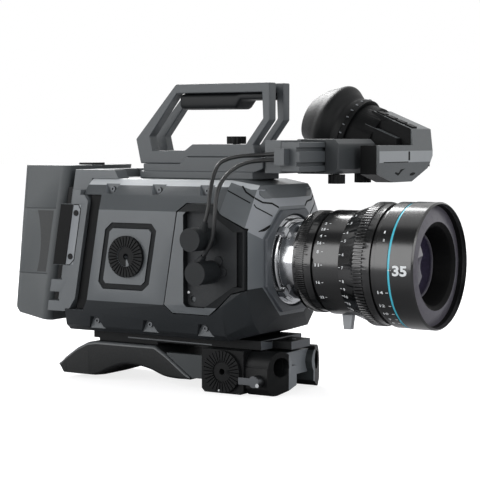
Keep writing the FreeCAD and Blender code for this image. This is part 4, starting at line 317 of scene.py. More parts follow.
# Moulded case and keys: black and dull. The rear channel gets the same black, darker than the
# covers beside it.
BLACK_PLASTIC = Finish("moulded_black_abs", "#0c0d0e", "#0a0b0c", 0.5, 0.06, specular=0.12)
# Slate grey anodising of the finder's arm and rail.
RAIL_GREY = Finish("slate_anodised_aluminium", "#4a4e51", "#44484b", 0.4, 0.05, 0.9, 0.01)
# Light grey front of the viewfinder.
FINDER_PAINT = Finish("powder_coated_finder_grey", "#535759", "#4e5254", 0.42, 0.06, 1.1)
# Upright band across that front: painted light, the finder's grey made brighter where the band
# faces the light.
FINDER_BAND_LIGHT = Finish("painted_light_finder_band", "#8f9396", "#888c8f", 0.38, 0.05, 1.1, 0.01)
# Lens barrel: blacker and glossier than the housing.
LENS_ANODISED = Finish("satin_black_lens_anodising", "#08090a", "#070809", 0.2, 0.03, 0.8, 0.003,
                       specular=0.82)
# Matt baffle inside the hood: it swallows light.
BAFFLE_BLACK = Finish("matt_baffle_black", "#050506", "#040405", 0.6, specular=0.1)
# Ring in the hood and ring round the glass: a lilac grey that takes the backdrop's light softly, a
# painted reflection of a glossy black ring.
HOOD_RING_REFLECTION = Finish("painted_reflection_hood_ring", "#514f57", "#4b4951", 0.32, 0.05, 0.8, 0.004, specular=0.5)
# Hard chrome: polished, with faint turning marks.
MOUNT_CHROME = Finish("hard_chromed_brass", "#cfd0d2", "#c2c4c6", 0.14, 0.04, 0.6, 0.002,
                      metallic=1.0)
# Polished faces of a screw and a pin: bright dots, their glint painted in light grey.
STEEL_GLINT = Finish("faced_steel_painted_glint", "#b9bcbe", "#b1b4b6", 0.3, 0.04, 0.6, 0.003)
# Turned stainless screws: a dull metal glint.
SCREW_STEEL = Finish("turned_stainless_steel", "#5e6062", "#55575a", 0.42, 0.06, 0.6, 0.004,
                     metallic=1.0)
# Glass-filled battery case: matt dark grey, coarse grain.
BATTERY_SHELL = Finish("moulded_battery_case", "#45494b", "#3f4345", 0.48, 0.06, 1.4, 0.03)
# Finger recess of the battery: painted shade, a dark patch where its walls shade it.
BATTERY_RECESS_SHADE = Finish("painted_shade_finger_recess", "#1d2021", "#1a1d1e", 0.5, 0.06, 1.4, 0.03)
# Silicone eyecup: soft black with almost no gloss.
EYECUP_RUBBER = Finish("moulded_silicone_rubber", "#131415", "#0f1011", 0.5, 0.05, 1.6, 0.012,
                       specular=0.2)
# Skinned foam of the shoulder pad: dark, coarse grain.
PAD_RUBBER = Finish("skinned_foam_rubber", "#1d1f20", "#18191a", 0.6, 0.08, 1.2, 0.06,
                    specular=0.25)
# Rounded upper edge of that pad: a grey line, a painted highlight.
PAD_RIM_HIGHLIGHT = Finish("painted_highlight_pad_rim", "#4a4d4f", "#444749", 0.45, 0.05, 1.4)
# Rubber grip: darker and duller than the handle.
GRIP_RUBBER = Finish("moulded_grip_rubber", "#181a1c", "#151718", 0.5, 0.05, 1.4, 0.03,
                     specular=0.22)
# Soft PVC of the cords, with a faint shine.
CORD_JACKET = Finish("extruded_pvc_jacket", "#1b1d1e", "#171819", 0.42, 0.05, 1.0, 0.008)
# Moulded plugs, a little lighter than the panel.
PLUG_BLACK = Finish("moulded_plug_shell", "#1d2022", "#1a1c1e", 0.5, 0.06, specular=0.22)
# Satin grey foot of the lens, half metallic.
FOOT_GREY = Finish("satin_grey_aluminium", "#8a8c8f", "#808386", 0.4, 0.05, 0.9, 0.01,
                   metallic=0.6)
# Red key cap of the record button.
RECORD_RED = Finish("moulded_red_key", "#8c1b18", "#7d1715", 0.4, 0.05, 1.0, 0.01)
# White ink of scales and ticks, slightly chalky.
PRINT_WHITE = Finish("white_scale_ink", "#d9dcde", "#cfd2d4", 0.5, 0.04, 0.8, 0.004)
# Cyan anodised line round the front of the lens.
ACCENT_CYAN = Finish("cyan_anodised_line", "#4fc3d9", "#45b6cd", 0.32, 0.04, 0.9, 0.006)
# Shadow line: the dark of a narrow gap.
GAP_BLACK = Finish("gap_shadow_black", "#08090a", "#060708", 0.7, 0.04, 1.0, 0.01, specular=0.2)
# White light of a small lamp behind frosted glass.
LAMP_WHITE = Finish("frosted_status_lamp", "#f2f4f5", "#e8eaec", 0.35, 0.03, 0.6, 0.004)
# Green solder mask of the main board.
BOARD_GREEN = Finish("solder_mask_green", "#1d4a2c", "#1a4128", 0.5, 0.06, 1.2)
# Machined aluminium round the sensor.
SENSOR_METAL = Finish("machined_aluminium", "#9a9c9e", "#8f9193", 0.35, 0.05, 1.2, metallic=1.0)
# Coated lens and screen glass: dark with a violet cast.
FRONT_GLASS = CoatedGlass("coated_optical_glass", "#2c2839")

SLOT_FINISH: dict[str, Look] = {
    "body_paint": HOUSING_PAINT, "frame_paint": HOUSING_PAINT, "nose_paint": NOSE_PAINT,
    "black_anodised": BLACK_ANODISED, "black_plastic": BLACK_PLASTIC, "evf_paint": FINDER_PAINT,
    "steel": SCREW_STEEL, "chrome": MOUNT_CHROME, "lens_black": LENS_ANODISED,
    "lens_glass": FRONT_GLASS, "foot_grey": FOOT_GREY, "battery_shell": BATTERY_SHELL,
    "grip_rubber": GRIP_RUBBER, "eyecup_rubber": EYECUP_RUBBER, "pad_rubber": PAD_RUBBER,
    "cord_jacket": CORD_JACKET, "record_red": RECORD_RED, "board_green": BOARD_GREEN,
    "sensor_metal": SENSOR_METAL,
}


class Facet(IntEnum):
    """Planes of the covers and the nose, which have a finish each: the chamfers' finishes are
    painted shade, and those of the top edge and of the nose's front and high facets are painted
    light.
    """

    SIDE = 0
    UPPER = 1
    LOWER = 2
    FRONT = 3
    HIGH = 4
    EDGE = 5


FACET_FINISH: dict[Facet, Look] = {
    Facet.SIDE: HOUSING_PAINT, Facet.UPPER: UPPER_CHAMFER_SHADE, Facet.LOWER: LOWER_CHAMFER_SHADE,
    Facet.FRONT: NOSE_FACET_LIGHT, Facet.HIGH: NOSE_BRIGHT, Facet.EDGE: EDGE_HIGHLIGHT,
}


@dataclass(frozen=True)
class Lamp:
    """A square area lamp: its name, place, target, side in metres and power in watts."""

    name: str
    place: Point
    target: Point
    side: float
    power: float

    def hang(self) -> None:
        """Add the lamp and turn it to its target."""
        data = bpy.data.lights.new(self.name, "AREA")
        data.size, data.energy = self.side, self.power
        lamp = add_object(self.name, data)
        lamp.location = self.place
        aim = Vector(self.target) - Vector(self.place)
        lamp.rotation_euler = aim.to_track_quat("-Z", "Y").to_euler()


@dataclass
class Studio:
    """Camera, floor, lamps and backdrop of the photograph.

    Attributes:
        centre: Place of the camera in metres.
        heading, pitch: Its turn to the left of +Y and how far it looks down, in degrees.
        focal_px, frame_px: Focal length and width of the frame in pixels.
        sensor: Width of the camera's sensor, in its own millimetres.
        floor_z, floor_reach: Height of the floor and half of its side.
        paper, floor_glow: Colour of the lit floor, and what the camera sees besides.
        room, sweep: Strength of the dim room behind the camera, and of the white sweep.
        turn: Y of the directions between which one becomes the other.
        lamps: A large soft key on the left, one overhead, fills from the front and the right.
    """

    centre: Point = (0.7307, -1.1864, 0.2152)
    heading: float = 32.2
    pitch: float = 3.6
    focal_px: float = 1618.0
    frame_px: float = 480
    sensor: float = 36.0
    floor_z: float = -0.0005
    floor_reach: float = 9.0
    paper: Numbers = (0.36, 0.36, 0.37, 1)
    floor_glow: float = 0.8
    room: float = 0.16
    sweep: float = 1.0
    turn: tuple[float, float] = (-0.32, -0.12)
    lamps: tuple[Lamp, ...] = (
        Lamp("key", (-1.15, -1.9, 0.55), (0.0, 0.0, 0.13), 2.2, 50.0),
        Lamp("overhead", (-1.3, 0.95, 1.45), (0.05, 0.0, 0.15), 1.0, 60.0),
        Lamp("front", (1.1, -2.1, 0.5), (0.0, 0.0, 0.13), 1.4, 13.0),
        Lamp("fill", (2.2, -0.6, 0.9), (0.0, 0.0, 0.12), 1.2, 14.0))

    def build(self) -> None:
        """Add the camera, the floor, the lamps and the world."""
        self.add_camera()
        self.add_floor()
        for lamp in self.lamps:
            lamp.hang()
        self.add_world()
        bpy.context.scene.view_settings.view_transform = "Standard"

    def add_camera(self) -> None:
        """Place the camera with the photograph's focal length, heading and pitch."""
        data = bpy.data.cameras.new("photo_camera")
        data.sensor_width = self.sensor
        data.lens = self.focal_px / self.frame_px * self.sensor
        data.clip_start, data.clip_end = 0.05, 60.0
        camera = add_object("photo_camera", data)
        camera.location = self.centre
        camera.rotation_euler = (math.radians(90 - self.pitch), 0, math.radians(self.heading))
        bpy.context.scene.camera = camera

    def add_floor(self) -> None:
        """Add a wide pale floor that shows as white but keeps the object's shadow."""
        data = bpy.data.meshes.new("floor")
        signs = ((-1, -1), (1, -1), (1, 1), (-1, 1))
        data.from_pydata([(self.floor_reach * x, self.floor_reach * y, self.floor_z)
                          for x, y in signs], [], [(0, 1, 2, 3)])
        data.materials.append(make_material("pale_paper_floor", self.fill_floor))
        add_object("floor", data)

    def fill_floor(self, tree: NodeTree) -> None:
        """Lit paper for every ray, and a glow besides for the camera's."""
        path = add_node(tree, "LightPath")
        paper = add_node(tree, "BsdfDiffuse", {"Color": self.paper})
        glow = add_node(tree, "Emission", {"Color": WHITE, "Strength": self.floor_glow})
        both = add_node(tree, "AddShader", {0: paper, 1: glow})
        seen = add_node(tree, "MixShader", {0: path.outputs["Is Camera Ray"], 1: paper, 2: both})
        add_node(tree, "OutputMaterial", {"Surface": seen})

    def add_world(self) -> None:
        """Show white to the camera and light the object by a white sweep behind a dim room."""
        world = bpy.context.scene.world = bpy.data.worlds.new("studio_world")
        tree = clear_tree(world)
        path = add_node(tree, "LightPath")
        ray = add_node(tree, "TexCoord")
        axes = add_node(tree, "SeparateXYZ", {0: ray.outputs["Generated"]})
        low, high = self.turn
        sweep = add_node(tree, "MapRange", {
            0: axes.outputs[1], 1: low, 2: high, 3: self.room, 4: self.sweep},
            interpolation_type="SMOOTHSTEP")
        soft = add_node(tree, "Background", {"Color": WHITE, "Strength": sweep})
        white = add_node(tree, "Background", {"Color": WHITE, "Strength": 1.0})
        both = add_node(tree, "MixShader", {0: path.outputs["Is Camera Ray"], 1: soft, 2: white})
        add_node(tree, "OutputWorld", {"Surface": both})


@dataclass
class CordRun:
    """One free cord between its plug and the gland on the viewfinder's rail.

    Attributes:
        which: Whether it is the upper or the lower one.
        points: The route's points in metres.
        length: Real length in metres; not used.
        diameter: Its diameter in metres.
    """

    which: str
    points: Line
    length: float
    diameter: float = 3.4 * MM

    def build(self) -> None:
        """Lay the cord along its route as one smooth curve."""
        name = f"{self.which}_cord"
        data = bpy.data.curves.new(name, "CURVE")
        data.dimensions = "3D"
        spline = data.splines.new("NURBS")
        spline.points.add(len(self.points) - 1)
        for knot, point in zip(spline.points, self.points):
            knot.co = (*point, 1.0)
        spline.order_u = 3
        spline.use_endpoint_u = True
        spline.resolution_u = 12
        data.bevel_depth = self.diameter / 2
        data.bevel_resolution = 6
        data.use_fill_caps = True
        cord = add_object(name, data)
        data.materials.append(CORD_JACKET.material())
        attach(cord, "camera")
        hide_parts(f"cord_{self.which}")
        LOG.info("laid %s", name)


@dataclass
class HardPart:
    """A CAD node redone as a merged copy with small bevels that catch the light.

    Attributes:
        node: The CAD node.
        finishes: One or more finishes; the first is the main one.
        bevel: Width of the bevel in millimetres.
        region: Picks a finish number for each face from its centre and normal, or None.
        segments: Steps of the bevel.
    """

    node: str
    finishes: list[Look]
    bevel: float = 0.4
    region: Region | None = None
    segments: int = 2

    def build(self, frame: Frame) -> None:
        """Copy the node, bevel and dress the copy, and put it on the node's body in its place.
        """
        mesh = merged_copy(frame["nodes"][self.node], f"{self.node}_finish")
        piece = add_object(f"{self.node}_finish", mesh)
        for finish in self.finishes:
            mesh.materials.append(finish.material())
        if self.region is not None:
            paint_regions(mesh, self.region)
        if self.bevel:
            add_bevel(piece, self.bevel * MM, self.segments)
        body, slot = node_facts(frame, self.node)
        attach(piece, body)
        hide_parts(self.node)
        LOG.info("dressed %s", self.node)


def dress(frame: Frame, *parts: HardPart) -> None:
    """Build hard parts one after another."""
    for part in parts:
        part.build(frame)


def node_facts(frame: Frame, node: str) -> tuple[str, str]:
    """Look a CAD node up in the record.

    Args:
        node: The node's name.

    Returns:
        The body that holds it, and its material slot.
    """
    bodies = frame["record"]["behaviour"]["bodies"]
    body = next(name for name, members in bodies.items() if node in members)
    return body, next(row["material_slot"] for row in frame["record"]["subparts"]
                      if row["node"] == node)


def merged_copy(source: Object, name: str) -> Mesh:
    """Copy a CAD node's loose triangles as one welded mesh with its flat regions joined.

    Args:
        source: The CAD node's object.
        name: Name of the new mesh.

    Returns:
        A smooth-shaded mesh whose creases are marked sharp.
    """
    shape = bmesh.new()
    shape.from_mesh(source.data)
    bmesh.ops.remove_doubles(shape, verts=shape.verts, dist=2e-6)
    bmesh.ops.dissolve_limit(shape, angle_limit=math.radians(0.4), use_dissolve_boundaries=False,
                             verts=shape.verts, edges=shape.edges)
    mesh = bpy.data.meshes.new(name)
    shape.to_mesh(mesh)
    shape.free()
    shade_smooth(mesh, CREASE)
    return mesh


def shade_smooth(mesh: Mesh, crease: float) -> None:
    """Shade a mesh smooth but for its edges over the crease angle."""
    mesh.polygons.foreach_set("use_smooth", np.ones(len(mesh.polygons), bool))
    mesh.set_sharp_from_angle(angle=crease)


def face_frames(mesh: Mesh) -> tuple[Array, Array]:
    """Read where a mesh's faces are and how they are turned.

    Args:
        mesh: A mesh in metres.

    Returns:
        The faces' centres in millimetres and their unit normals.
    """
    count = len(mesh.polygons)
    centres, normals = np.zeros(count * 3), np.zeros(count * 3)
    mesh.polygons.foreach_get("center", centres)
    mesh.polygons.foreach_get("normal", normals)
    return centres.reshape(-1, 3) / MM, normals.reshape(-1, 3)


def paint_regions(mesh: Mesh, region: Region) -> None:
    """Give each face the finish number that the region function picks."""
    centres, normals = face_frames(mesh)
    mesh.polygons.foreach_set("material_index", region(centres, normals).astype(np.int32))


def add_bevel(piece: Object, width: float, segments: int) -> None:
    """Round every crease by a small bevel with hardened normals.

    Args:
        piece: The object that gets the modifier.
        width: Width of the bevel in metres.
        segments: Its steps.
    """
    bevel = piece.modifiers.new("edge_round", "BEVEL")
    bevel.width = width
    bevel.segments = segments
    bevel.limit_method = "ANGLE"
    bevel.angle_limit = CREASE
    bevel.harden_normals = True
    bevel.use_clamp_overlap = True


def smooth_through(stations: Array, values: Array, at: Array) -> Array:
    """Read a smooth curve through knots: a cubic in each span with the knots' mean slopes.

    Args:
        stations: Growing places of the knots.
        values: Their values.
        at: Where the curve is read.

    Returns:
        The curve's values.
    """
    slopes = np.gradient(values, stations)
    index = np.clip(np.searchsorted(stations, at, side="right") - 1, 0, len(stations) - 2)
    span = stations[index + 1] - stations[index]
    share = (at - stations[index]) / span
    square, cube = share ** 2, share ** 3
    return ((2 * cube - 3 * square + 1) * values[index]
            + (cube - 2 * square + share) * span * slopes[index]
            + (3 * square - 2 * cube) * values[index + 1]
            + (cube - square) * span * slopes[index + 1])


def spread_along(points: Line | Array, count: int) -> Array:
    """Place points at equal steps along a polyline.

    Args:
        points: The polyline's corners.
        count: How many points to place, both ends among them.

    Returns:
        The points.
    """
    line = np.array(points, float)
    steps = np.linalg.norm(np.diff(line, axis=0), axis=1)
    reach = np.concatenate([[0.0], np.cumsum(steps)])
    at = np.linspace(0.0, reach[-1], count)
    return np.stack([np.interp(at, reach, column) for column in line.T], axis=1)


class MeshParts:
    """Collects closed surfaces and turns them into one piece."""

    def __init__(self) -> None:
        """Start empty."""
        self.points: list[Array] = []
        self.faces: Faces = []
        self.count = 0

    def add(self, points: Array, faces: Faces) -> None:
        """Take a set of points in millimetres with its faces."""
        self.points.append(points)
        self.faces += [[corner + self.count for corner in face] for face in faces]
        self.count += len(points)

    def add_tube(self, grid: Array, closed: bool = False) -> None:
        """Take a closed section carried along a path.

        Args:
            grid: Points by station and place in the section, in millimetres.
            closed: True if the last station joins the first; otherwise flat ends close it.
        """
        rows, columns = grid.shape[:2]
        u, v = np.meshgrid(np.arange(rows if closed else rows - 1), np.arange(columns),
                           indexing="ij")
        right, up = (v + 1) % columns, (u + 1) % rows
        quads = np.stack([u * columns + v, u * columns + right, up * columns + right,
                          up * columns + v], axis=-1).reshape(-1, 4).tolist()
        if not closed:
            quads += [list(range(columns))[::-1],
                      list(range((rows - 1) * columns, rows * columns))]
        self.add(grid.reshape(-1, 3), quads)

    def piece(self, name: str, body: str, slot: str, *finishes: Look) -> Object:
        """Make the object, its faces outwards and its soft edges smooth.

        Args:
            name: Name of the piece.
            body: The body that it rides on.
            slot: The record's material slot; not used.
            *finishes: Its finishes by number.

        Returns:
            The new object, with its place in its mesh.
        """
        mesh = bpy.data.meshes.new(name)
        mesh.from_pydata((np.concatenate(self.points) * MM).tolist(), [], self.faces)
        for finish in finishes:
            mesh.materials.append(finish.material())
        shape = bmesh.new()
        shape.from_mesh(mesh)
        bmesh.ops.recalc_face_normals(shape, faces=shape.faces)
        shape.to_mesh(mesh)
        shape.free()
        shade_smooth(mesh, SOFT_CREASE)
        made = add_object(name, mesh)
        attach(made, body)
        LOG.info("made %s", name)
        return made


@dataclass(frozen=True)
class Stud:
    """A low round stud that faces -Y: the middle of its seat, its radius and its height."""

    centre: Point
    radius: float
    proud: float

    def add_to(self, parts: MeshParts) -> None:
        """Turn its profile, whose rim is softened, round the seat's axis."""
        x, y, z = self.centre
        turn = full_turn(16)
        reach = self.radius * np.array([1.0, 1.0, 0.8])[:, None]
        depth = y - self.proud * np.array([-0.3, 0.75, 1.0])[:, None]
        parts.add_tube(grid_of(x + reach * np.cos(turn), depth, z + reach * np.sin(turn)))


class Skin:
    """The outer skin of some CAD nodes, on which flat trim is laid."""

    def __init__(self, frame: Frame, *nodes: str) -> None:
        """Gather the nodes' triangles in millimetres."""
        points: list[Vector] = []
        faces: list[tuple[int, ...]] = []
        for node in nodes:
            mesh = frame["nodes"][node].data
            start = len(points)
            points += [v.co / MM for v in mesh.vertices]
            faces += [tuple(start + i for i in p.vertices) for p in mesh.polygons]
        self.tree = BVHTree.FromPolygons(points, faces)

    def snap(self, points: Array) -> tuple[Array, Array]:
        """Nearest points of the skin, and its outward normals there."""
        found = [self.tree.find_nearest(Vector(p)) for p in points]
        return (np.array([tuple(hit[0]) for hit in found]),
                np.array([tuple(hit[1]) for hit in found]))

    def line(self, parts: MeshParts, points: Line, width: float, rise: float) -> None:
        """Lay a flat strip along a polyline, in steps of about a millimetre.

        Args:
            parts: What takes the strip.
            points: The polyline in millimetres.
            width: Width of the strip.
            rise: How far it stands proud.
        """
        length = np.linalg.norm(np.diff(np.array(points, float), axis=0), axis=1).sum()
        at, normals = self.snap(spread_along(points, max(2, int(length) + 1)))
        along = np.gradient(at, axis=0)
        along /= np.linalg.norm(along, axis=1, keepdims=True)
        across = np.cross(normals, along)
        across /= np.linalg.norm(across, axis=1, keepdims=True)
        half, root, top = across * width / 2, normals * TRIM_SUNK, normals * rise
        parts.add_tube(np.stack([at - half - root, at + half - root,
                                 at + half + top, at - half + top], axis=1))

    def patch(self, parts: MeshParts, low: Line, high: Line, rise: float,
              rows: int, columns: int) -> None:
        """Lay a pad of even height between two polylines.

        Args:
            parts: What takes the pad.
            low: One long edge in millimetres.
            high: The other one.
            rise: How far the pad stands proud.
            rows: Stations along the edges.
            columns: Stations from edge to edge.
        """
        first, last = spread_along(low, rows), spread_along(high, rows)
        share = np.linspace(0, 1, columns)[None, :, None]
        flat = (first[:, None] * (1 - share) + last[:, None] * share).reshape(-1, 3)
        at, normals = self.snap(flat)
        top = (at + normals * rise).reshape(rows, columns, 3)
        root = (at - normals * TRIM_SUNK).reshape(rows, columns, 3)
        parts.add_tube(np.concatenate([top, root[:, ::-1]], axis=1))


@dataclass(frozen=True)
class Mark:
    """One printed number or tick on a surface turned round the lens axis.

    Attributes:
        text: The digits, or nothing for a tick.
        station: X of its middle in millimetres.
        angle: Its middle round the lens: 0 looks at -Y, 90 up.
        width: Size along the lens.
        height: Size round the lens.
        bold: How far the strokes are widened, as a share of the letter size.
    """

    text: str
    station: float
    angle: float
    width: float
    height: float
    bold: float = 0.02

    def add_to(self, parts: MeshParts, radius: Radius) -> None:
        """Wrap the mark on the lens; on the far side it is turned over to be read there.

        Args:
            parts: What takes the mark.
            radius: Radius of the surface at a station.
        """
        flat, faces = self.letters() if self.text else self.tick()
        low, high = flat[:, :2].min(axis=0), flat[:, :2].max(axis=0)
        spot = (flat[:, :2] - (low + high) / 2) / (high - low) * (self.width, self.height)
        turned = -1.0 if abs(self.angle) > 90 else 1.0
        station = self.station + spot[:, 0] * turned
        base = radius(station)
        angle = np.radians(self.angle) + spot[:, 1] * turned / base
        parts.add(on_lens(station, angle, base + np.where(flat[:, 2] > 0, INK_PROUD, -INK_SUNK)),
                  faces)

    def tick(self) -> tuple[Array, Faces]:
        """Flat bar of unit size, cut across so that it can bend."""
        corners = np.array([(-0.5, -1), (0.5, -1), (0.5, 1), (-0.5, 1)])
        rows = np.linspace(-0.5, 0.5, 4)[:, None]
        holder = MeshParts()
        holder.add_tube(grid_of(corners[None, :, 0], rows, corners[None, :, 1]))
        return holder.points[0], holder.faces

    def letters(self) -> tuple[Array, Faces]:
        """Flat solid of the digits, cut into strips so that it can bend."""
        text = bpy.data.curves.new("letters", "FONT")
        text.body, text.extrude, text.offset = self.text, 0.1, self.bold
        text.resolution_u = 3
        carrier = bpy.data.objects.new("letters", text)
        mesh = bpy.data.meshes.new_from_object(carrier)
        shape = bmesh.new()
        shape.from_mesh(mesh)
        bmesh.ops.remove_doubles(shape, verts=shape.verts, dist=1e-5)
        for height in np.linspace(0.05, 0.65, 7):
            bmesh.ops.bisect_plane(shape, geom=shape.verts[:] + shape.edges[:] + shape.faces[:],
                                   plane_co=(0, height, 0), plane_no=(0, 1, 0))
        points = np.array([tuple(v.co) for v in shape.verts])
        faces = [[v.index for v in face.verts] for face in shape.faces]
        shape.free()
        bpy.data.objects.remove(carrier)
        bpy.data.curves.remove(text)
        bpy.data.meshes.remove(mesh)
        return points, faces


def on_lens(station: Array, angle: Array, radius: Array) -> Array:
    """Points round the lens axis: the angle 0 looks at -Y and a right angle is the top."""
    return grid_of(station, -radius * np.cos(angle), AXIS_Z + radius * np.sin(angle))


@dataclass
class Lens:
    """The lens: barrel and rings with their scales, the hood's ring and the glass.

    Attributes:
        accent, hood: Ends and least radius of the cyan line and of the hood's ring.
        baffle: First station and greatest radius of the deep baffle.
        turned_out: Least X of the normals of the hood's ring.
        barrel_radius: Radius under the aperture scale.
        bell: Both radii under the front numbers, and the station between them.
        cone: Station and radius at both edges of the distance scale.
        glass_ring, glass_seat: Profile round the glass, before its seat, and that seat's station.
        digit: Width and height of a digit, and width of a tick.
        marks_front: Numbers and ticks at the front.
        stops, feet: Aperture numbers and distance numbers with their angles.
        stop_row, feet_row: Station of the numbers, that of the ticks, and a tick's length.
    """

    accent: Numbers = (115.3, 117.7, 48.0)
    hood: Numbers = (130.6, 134.6, 36.2)
    baffle: tuple[float, float] = (105.0, 49.6)
    turned_out: float = 0.45
    barrel_radius: float = 43.7
    bell: Numbers = (51.6, 52.0, 154.6)
    cone: Pairs = ((67.6, 44.4), (84.0, 50.0))
    glass_ring: Pairs = (
        (-0.2, 28.0), (1.0, 27.2), (1.4, 26.2), (1.2, 25.6), (-0.2, 25.4))
    glass_seat: float = 117.0
    digit: Numbers = (1.9, 2.5, 0.45)
    marks_front: tuple[Mark, ...] = (
        Mark("35", 163.6, -0.8, 12.6, 8.4, 0.035), Mark("", 154.6, -0.5, 2.6, 0.9),
        Mark("14", 145.0, -21.3, 5.0, 2.7), Mark("", 150.6, -21.4, 2.4, 0.5),
        Mark("12", 143.8, -35.4, 4.6, 2.6), Mark("", 150.6, -35.4, 2.4, 0.5),
        Mark("10", 144.2, -45.4, 4.4, 2.4), Mark("", 150.6, -45.4, 2.4, 0.5),
        Mark("9", 144.8, -54.0, 2.2, 2.4), Mark("", 150.6, -54.0, 2.4, 0.5),
        Mark("8", 145.3, -61.0, 2.2, 2.4), Mark("", 150.6, -61.0, 2.4, 0.5),
        Mark("1", 146.1, 34.1, 1.2, 2.4), Mark("2", 147.0, 26.2, 1.8, 2.0),
    )
    stops: Scale = (
        ("22", -37.5), ("16", -18.7), ("11", 0.5), ("8", 14.8), ("5.6", 24.6), ("4", 33.0),
        ("2.8", 41.5), ("2", 50.0))
    feet: Scale = (
        ("2", 61.0), ("3", 48.5), ("4", 36.0), ("5", 26.6), ("6", 12.4), ("7", -1.0),
        ("8", -15.0), ("9", -23.8), ("10", -32.6), ("15", -42.0), ("20", -51.0))
    stop_row: Numbers = (84.8, 88.8, 1.6)
    feet_row: Numbers = (109.4, 106.0, 2.0)

    def build(self, frame: Frame) -> None:
        """Dress the lens's nodes and print its scales."""
        dress(frame,
              HardPart("lens_barrel", [LENS_ANODISED, ACCENT_CYAN, HOOD_RING_REFLECTION, BAFFLE_BLACK],
                       0.35, self.barrel_region),
              HardPart("iris_ring", [LENS_ANODISED], 0.12, segments=1),
              HardPart("focus_ring", [LENS_ANODISED], 0.15, segments=1),
              HardPart("lens_mount_barrel", [MOUNT_CHROME], 0.3),
              HardPart("camera_mount", [MOUNT_CHROME], 0.3),
              HardPart("mount_ring", [MOUNT_CHROME]),
              HardPart("front_element", [FRONT_GLASS], 0.0))
        self.print_scales()
        self.add_glass_ring()

    def barrel_region(self, centres: Array, normals: Array) -> Array:
        """1 in the accent groove, 2 on the hood's ring with its painted reflection, 3 in the deep
        baffle, else 0.
        """
        station = centres[:, 0] - FLANGE_X
        radius = np.hypot(centres[:, 1], centres[:, 2] - AXIS_Z)
        inner = (station > self.baffle[0]) & (radius < self.baffle[1])
        ring = (inner & between(station, *self.hood[:2]) & (radius > self.hood[2])
                & (normals[:, 0] > self.turned_out))
        accent = between(station, *self.accent[:2]) & (radius > self.accent[2])
        return np.select([ring, inner, accent], [2, 3, 1], 0)

    def print_scales(self) -> None:
        """Print the numbers and ticks, those of a ring on the ring's own body."""
        fixed, turning = MeshParts(), MeshParts()
        for mark in self.marks_front:
            mark.add_to(fixed, self.bell_radius)
        self.print_row(fixed, self.stops, self.stop_row,
                       lambda station: np.full(station.shape, self.barrel_radius))
        self.print_row(turning, self.feet, self.feet_row, self.cone_radius)
        fixed.piece("lens_scale_marks", "camera", "lens_black", PRINT_WHITE)
        turning.piece("focus_scale_marks", "focus", "lens_black", PRINT_WHITE)

    def print_row(self, parts: MeshParts, row: Scale,
                  place: Numbers, radius: Radius) -> None:
        """Print a scale, and the same again on the lens's far side.

        Args:
            parts: What takes the marks.
            row: The numbers and their angles.
            place: Station of the numbers, that of the ticks, and a tick's length.
            radius: Radius of the surface at a station.
        """
        width, height, tick_height = self.digit
        numbers_at, ticks_at, tick = place
        for text, angle in [*row, *((text, 180.0 - angle) for text, angle in row)]:
            long = width * len(text.replace(".", ""))
            Mark(text, numbers_at, angle, long, height).add_to(parts, radius)
            Mark("", ticks_at, angle, tick, tick_height).add_to(parts, radius)

    def bell_radius(self, station: Array) -> Array:
        """Radius of the front bell, which steps up once."""
        rear, front, step = self.bell
        return np.where(station > step, front, rear)

    def cone_radius(self, station: Array) -> Array:
        """Radius of the conical scale: it grows evenly from its rear edge to the teeth."""
        (rear, low), (front, high) = self.cone
        return low + (station - FLANGE_X - rear) / (front - rear) * (high - low)

    def add_glass_ring(self) -> None:
        """Add the thin bright retaining ring round the glass, as a turned profile, in the hood
        ring's painted reflection.
        """
        ahead, radius = np.array(self.glass_ring).T
        parts = MeshParts()
        parts.add_tube(on_lens(FLANGE_X + self.glass_seat + ahead, full_turn(96)[:, None], radius),
                       closed=True)
        parts.piece("glass_retaining_ring", "camera", "steel", HOOD_RING_REFLECTION)


@dataclass
class Eye:
    """The eye axis of the viewfinder, which points back and up.

    Attributes:
        seat: Its start in millimetres.
        tilt: Its climb in degrees.
    """

    seat: Point = (27.4, 140.0, 217.2)
    tilt: float = 20.0

    def place(self, along: Array, across: Array, down: Array) -> Array:
        """Turn distances from the eye axis's seat into points.

        Args:
            along: Distances along the axis.
            across: Distances to the camera's left of it.
            down: Distances below it.

        Returns:
            The points, spread over the shape of all three.
        """
        lean = math.radians(self.tilt)
        return grid_of(self.seat[0] - along * math.cos(lean) - down * math.sin(lean),
                       self.seat[1] + across,
                       self.seat[2] + along * math.sin(lean) - down * math.cos(lean))


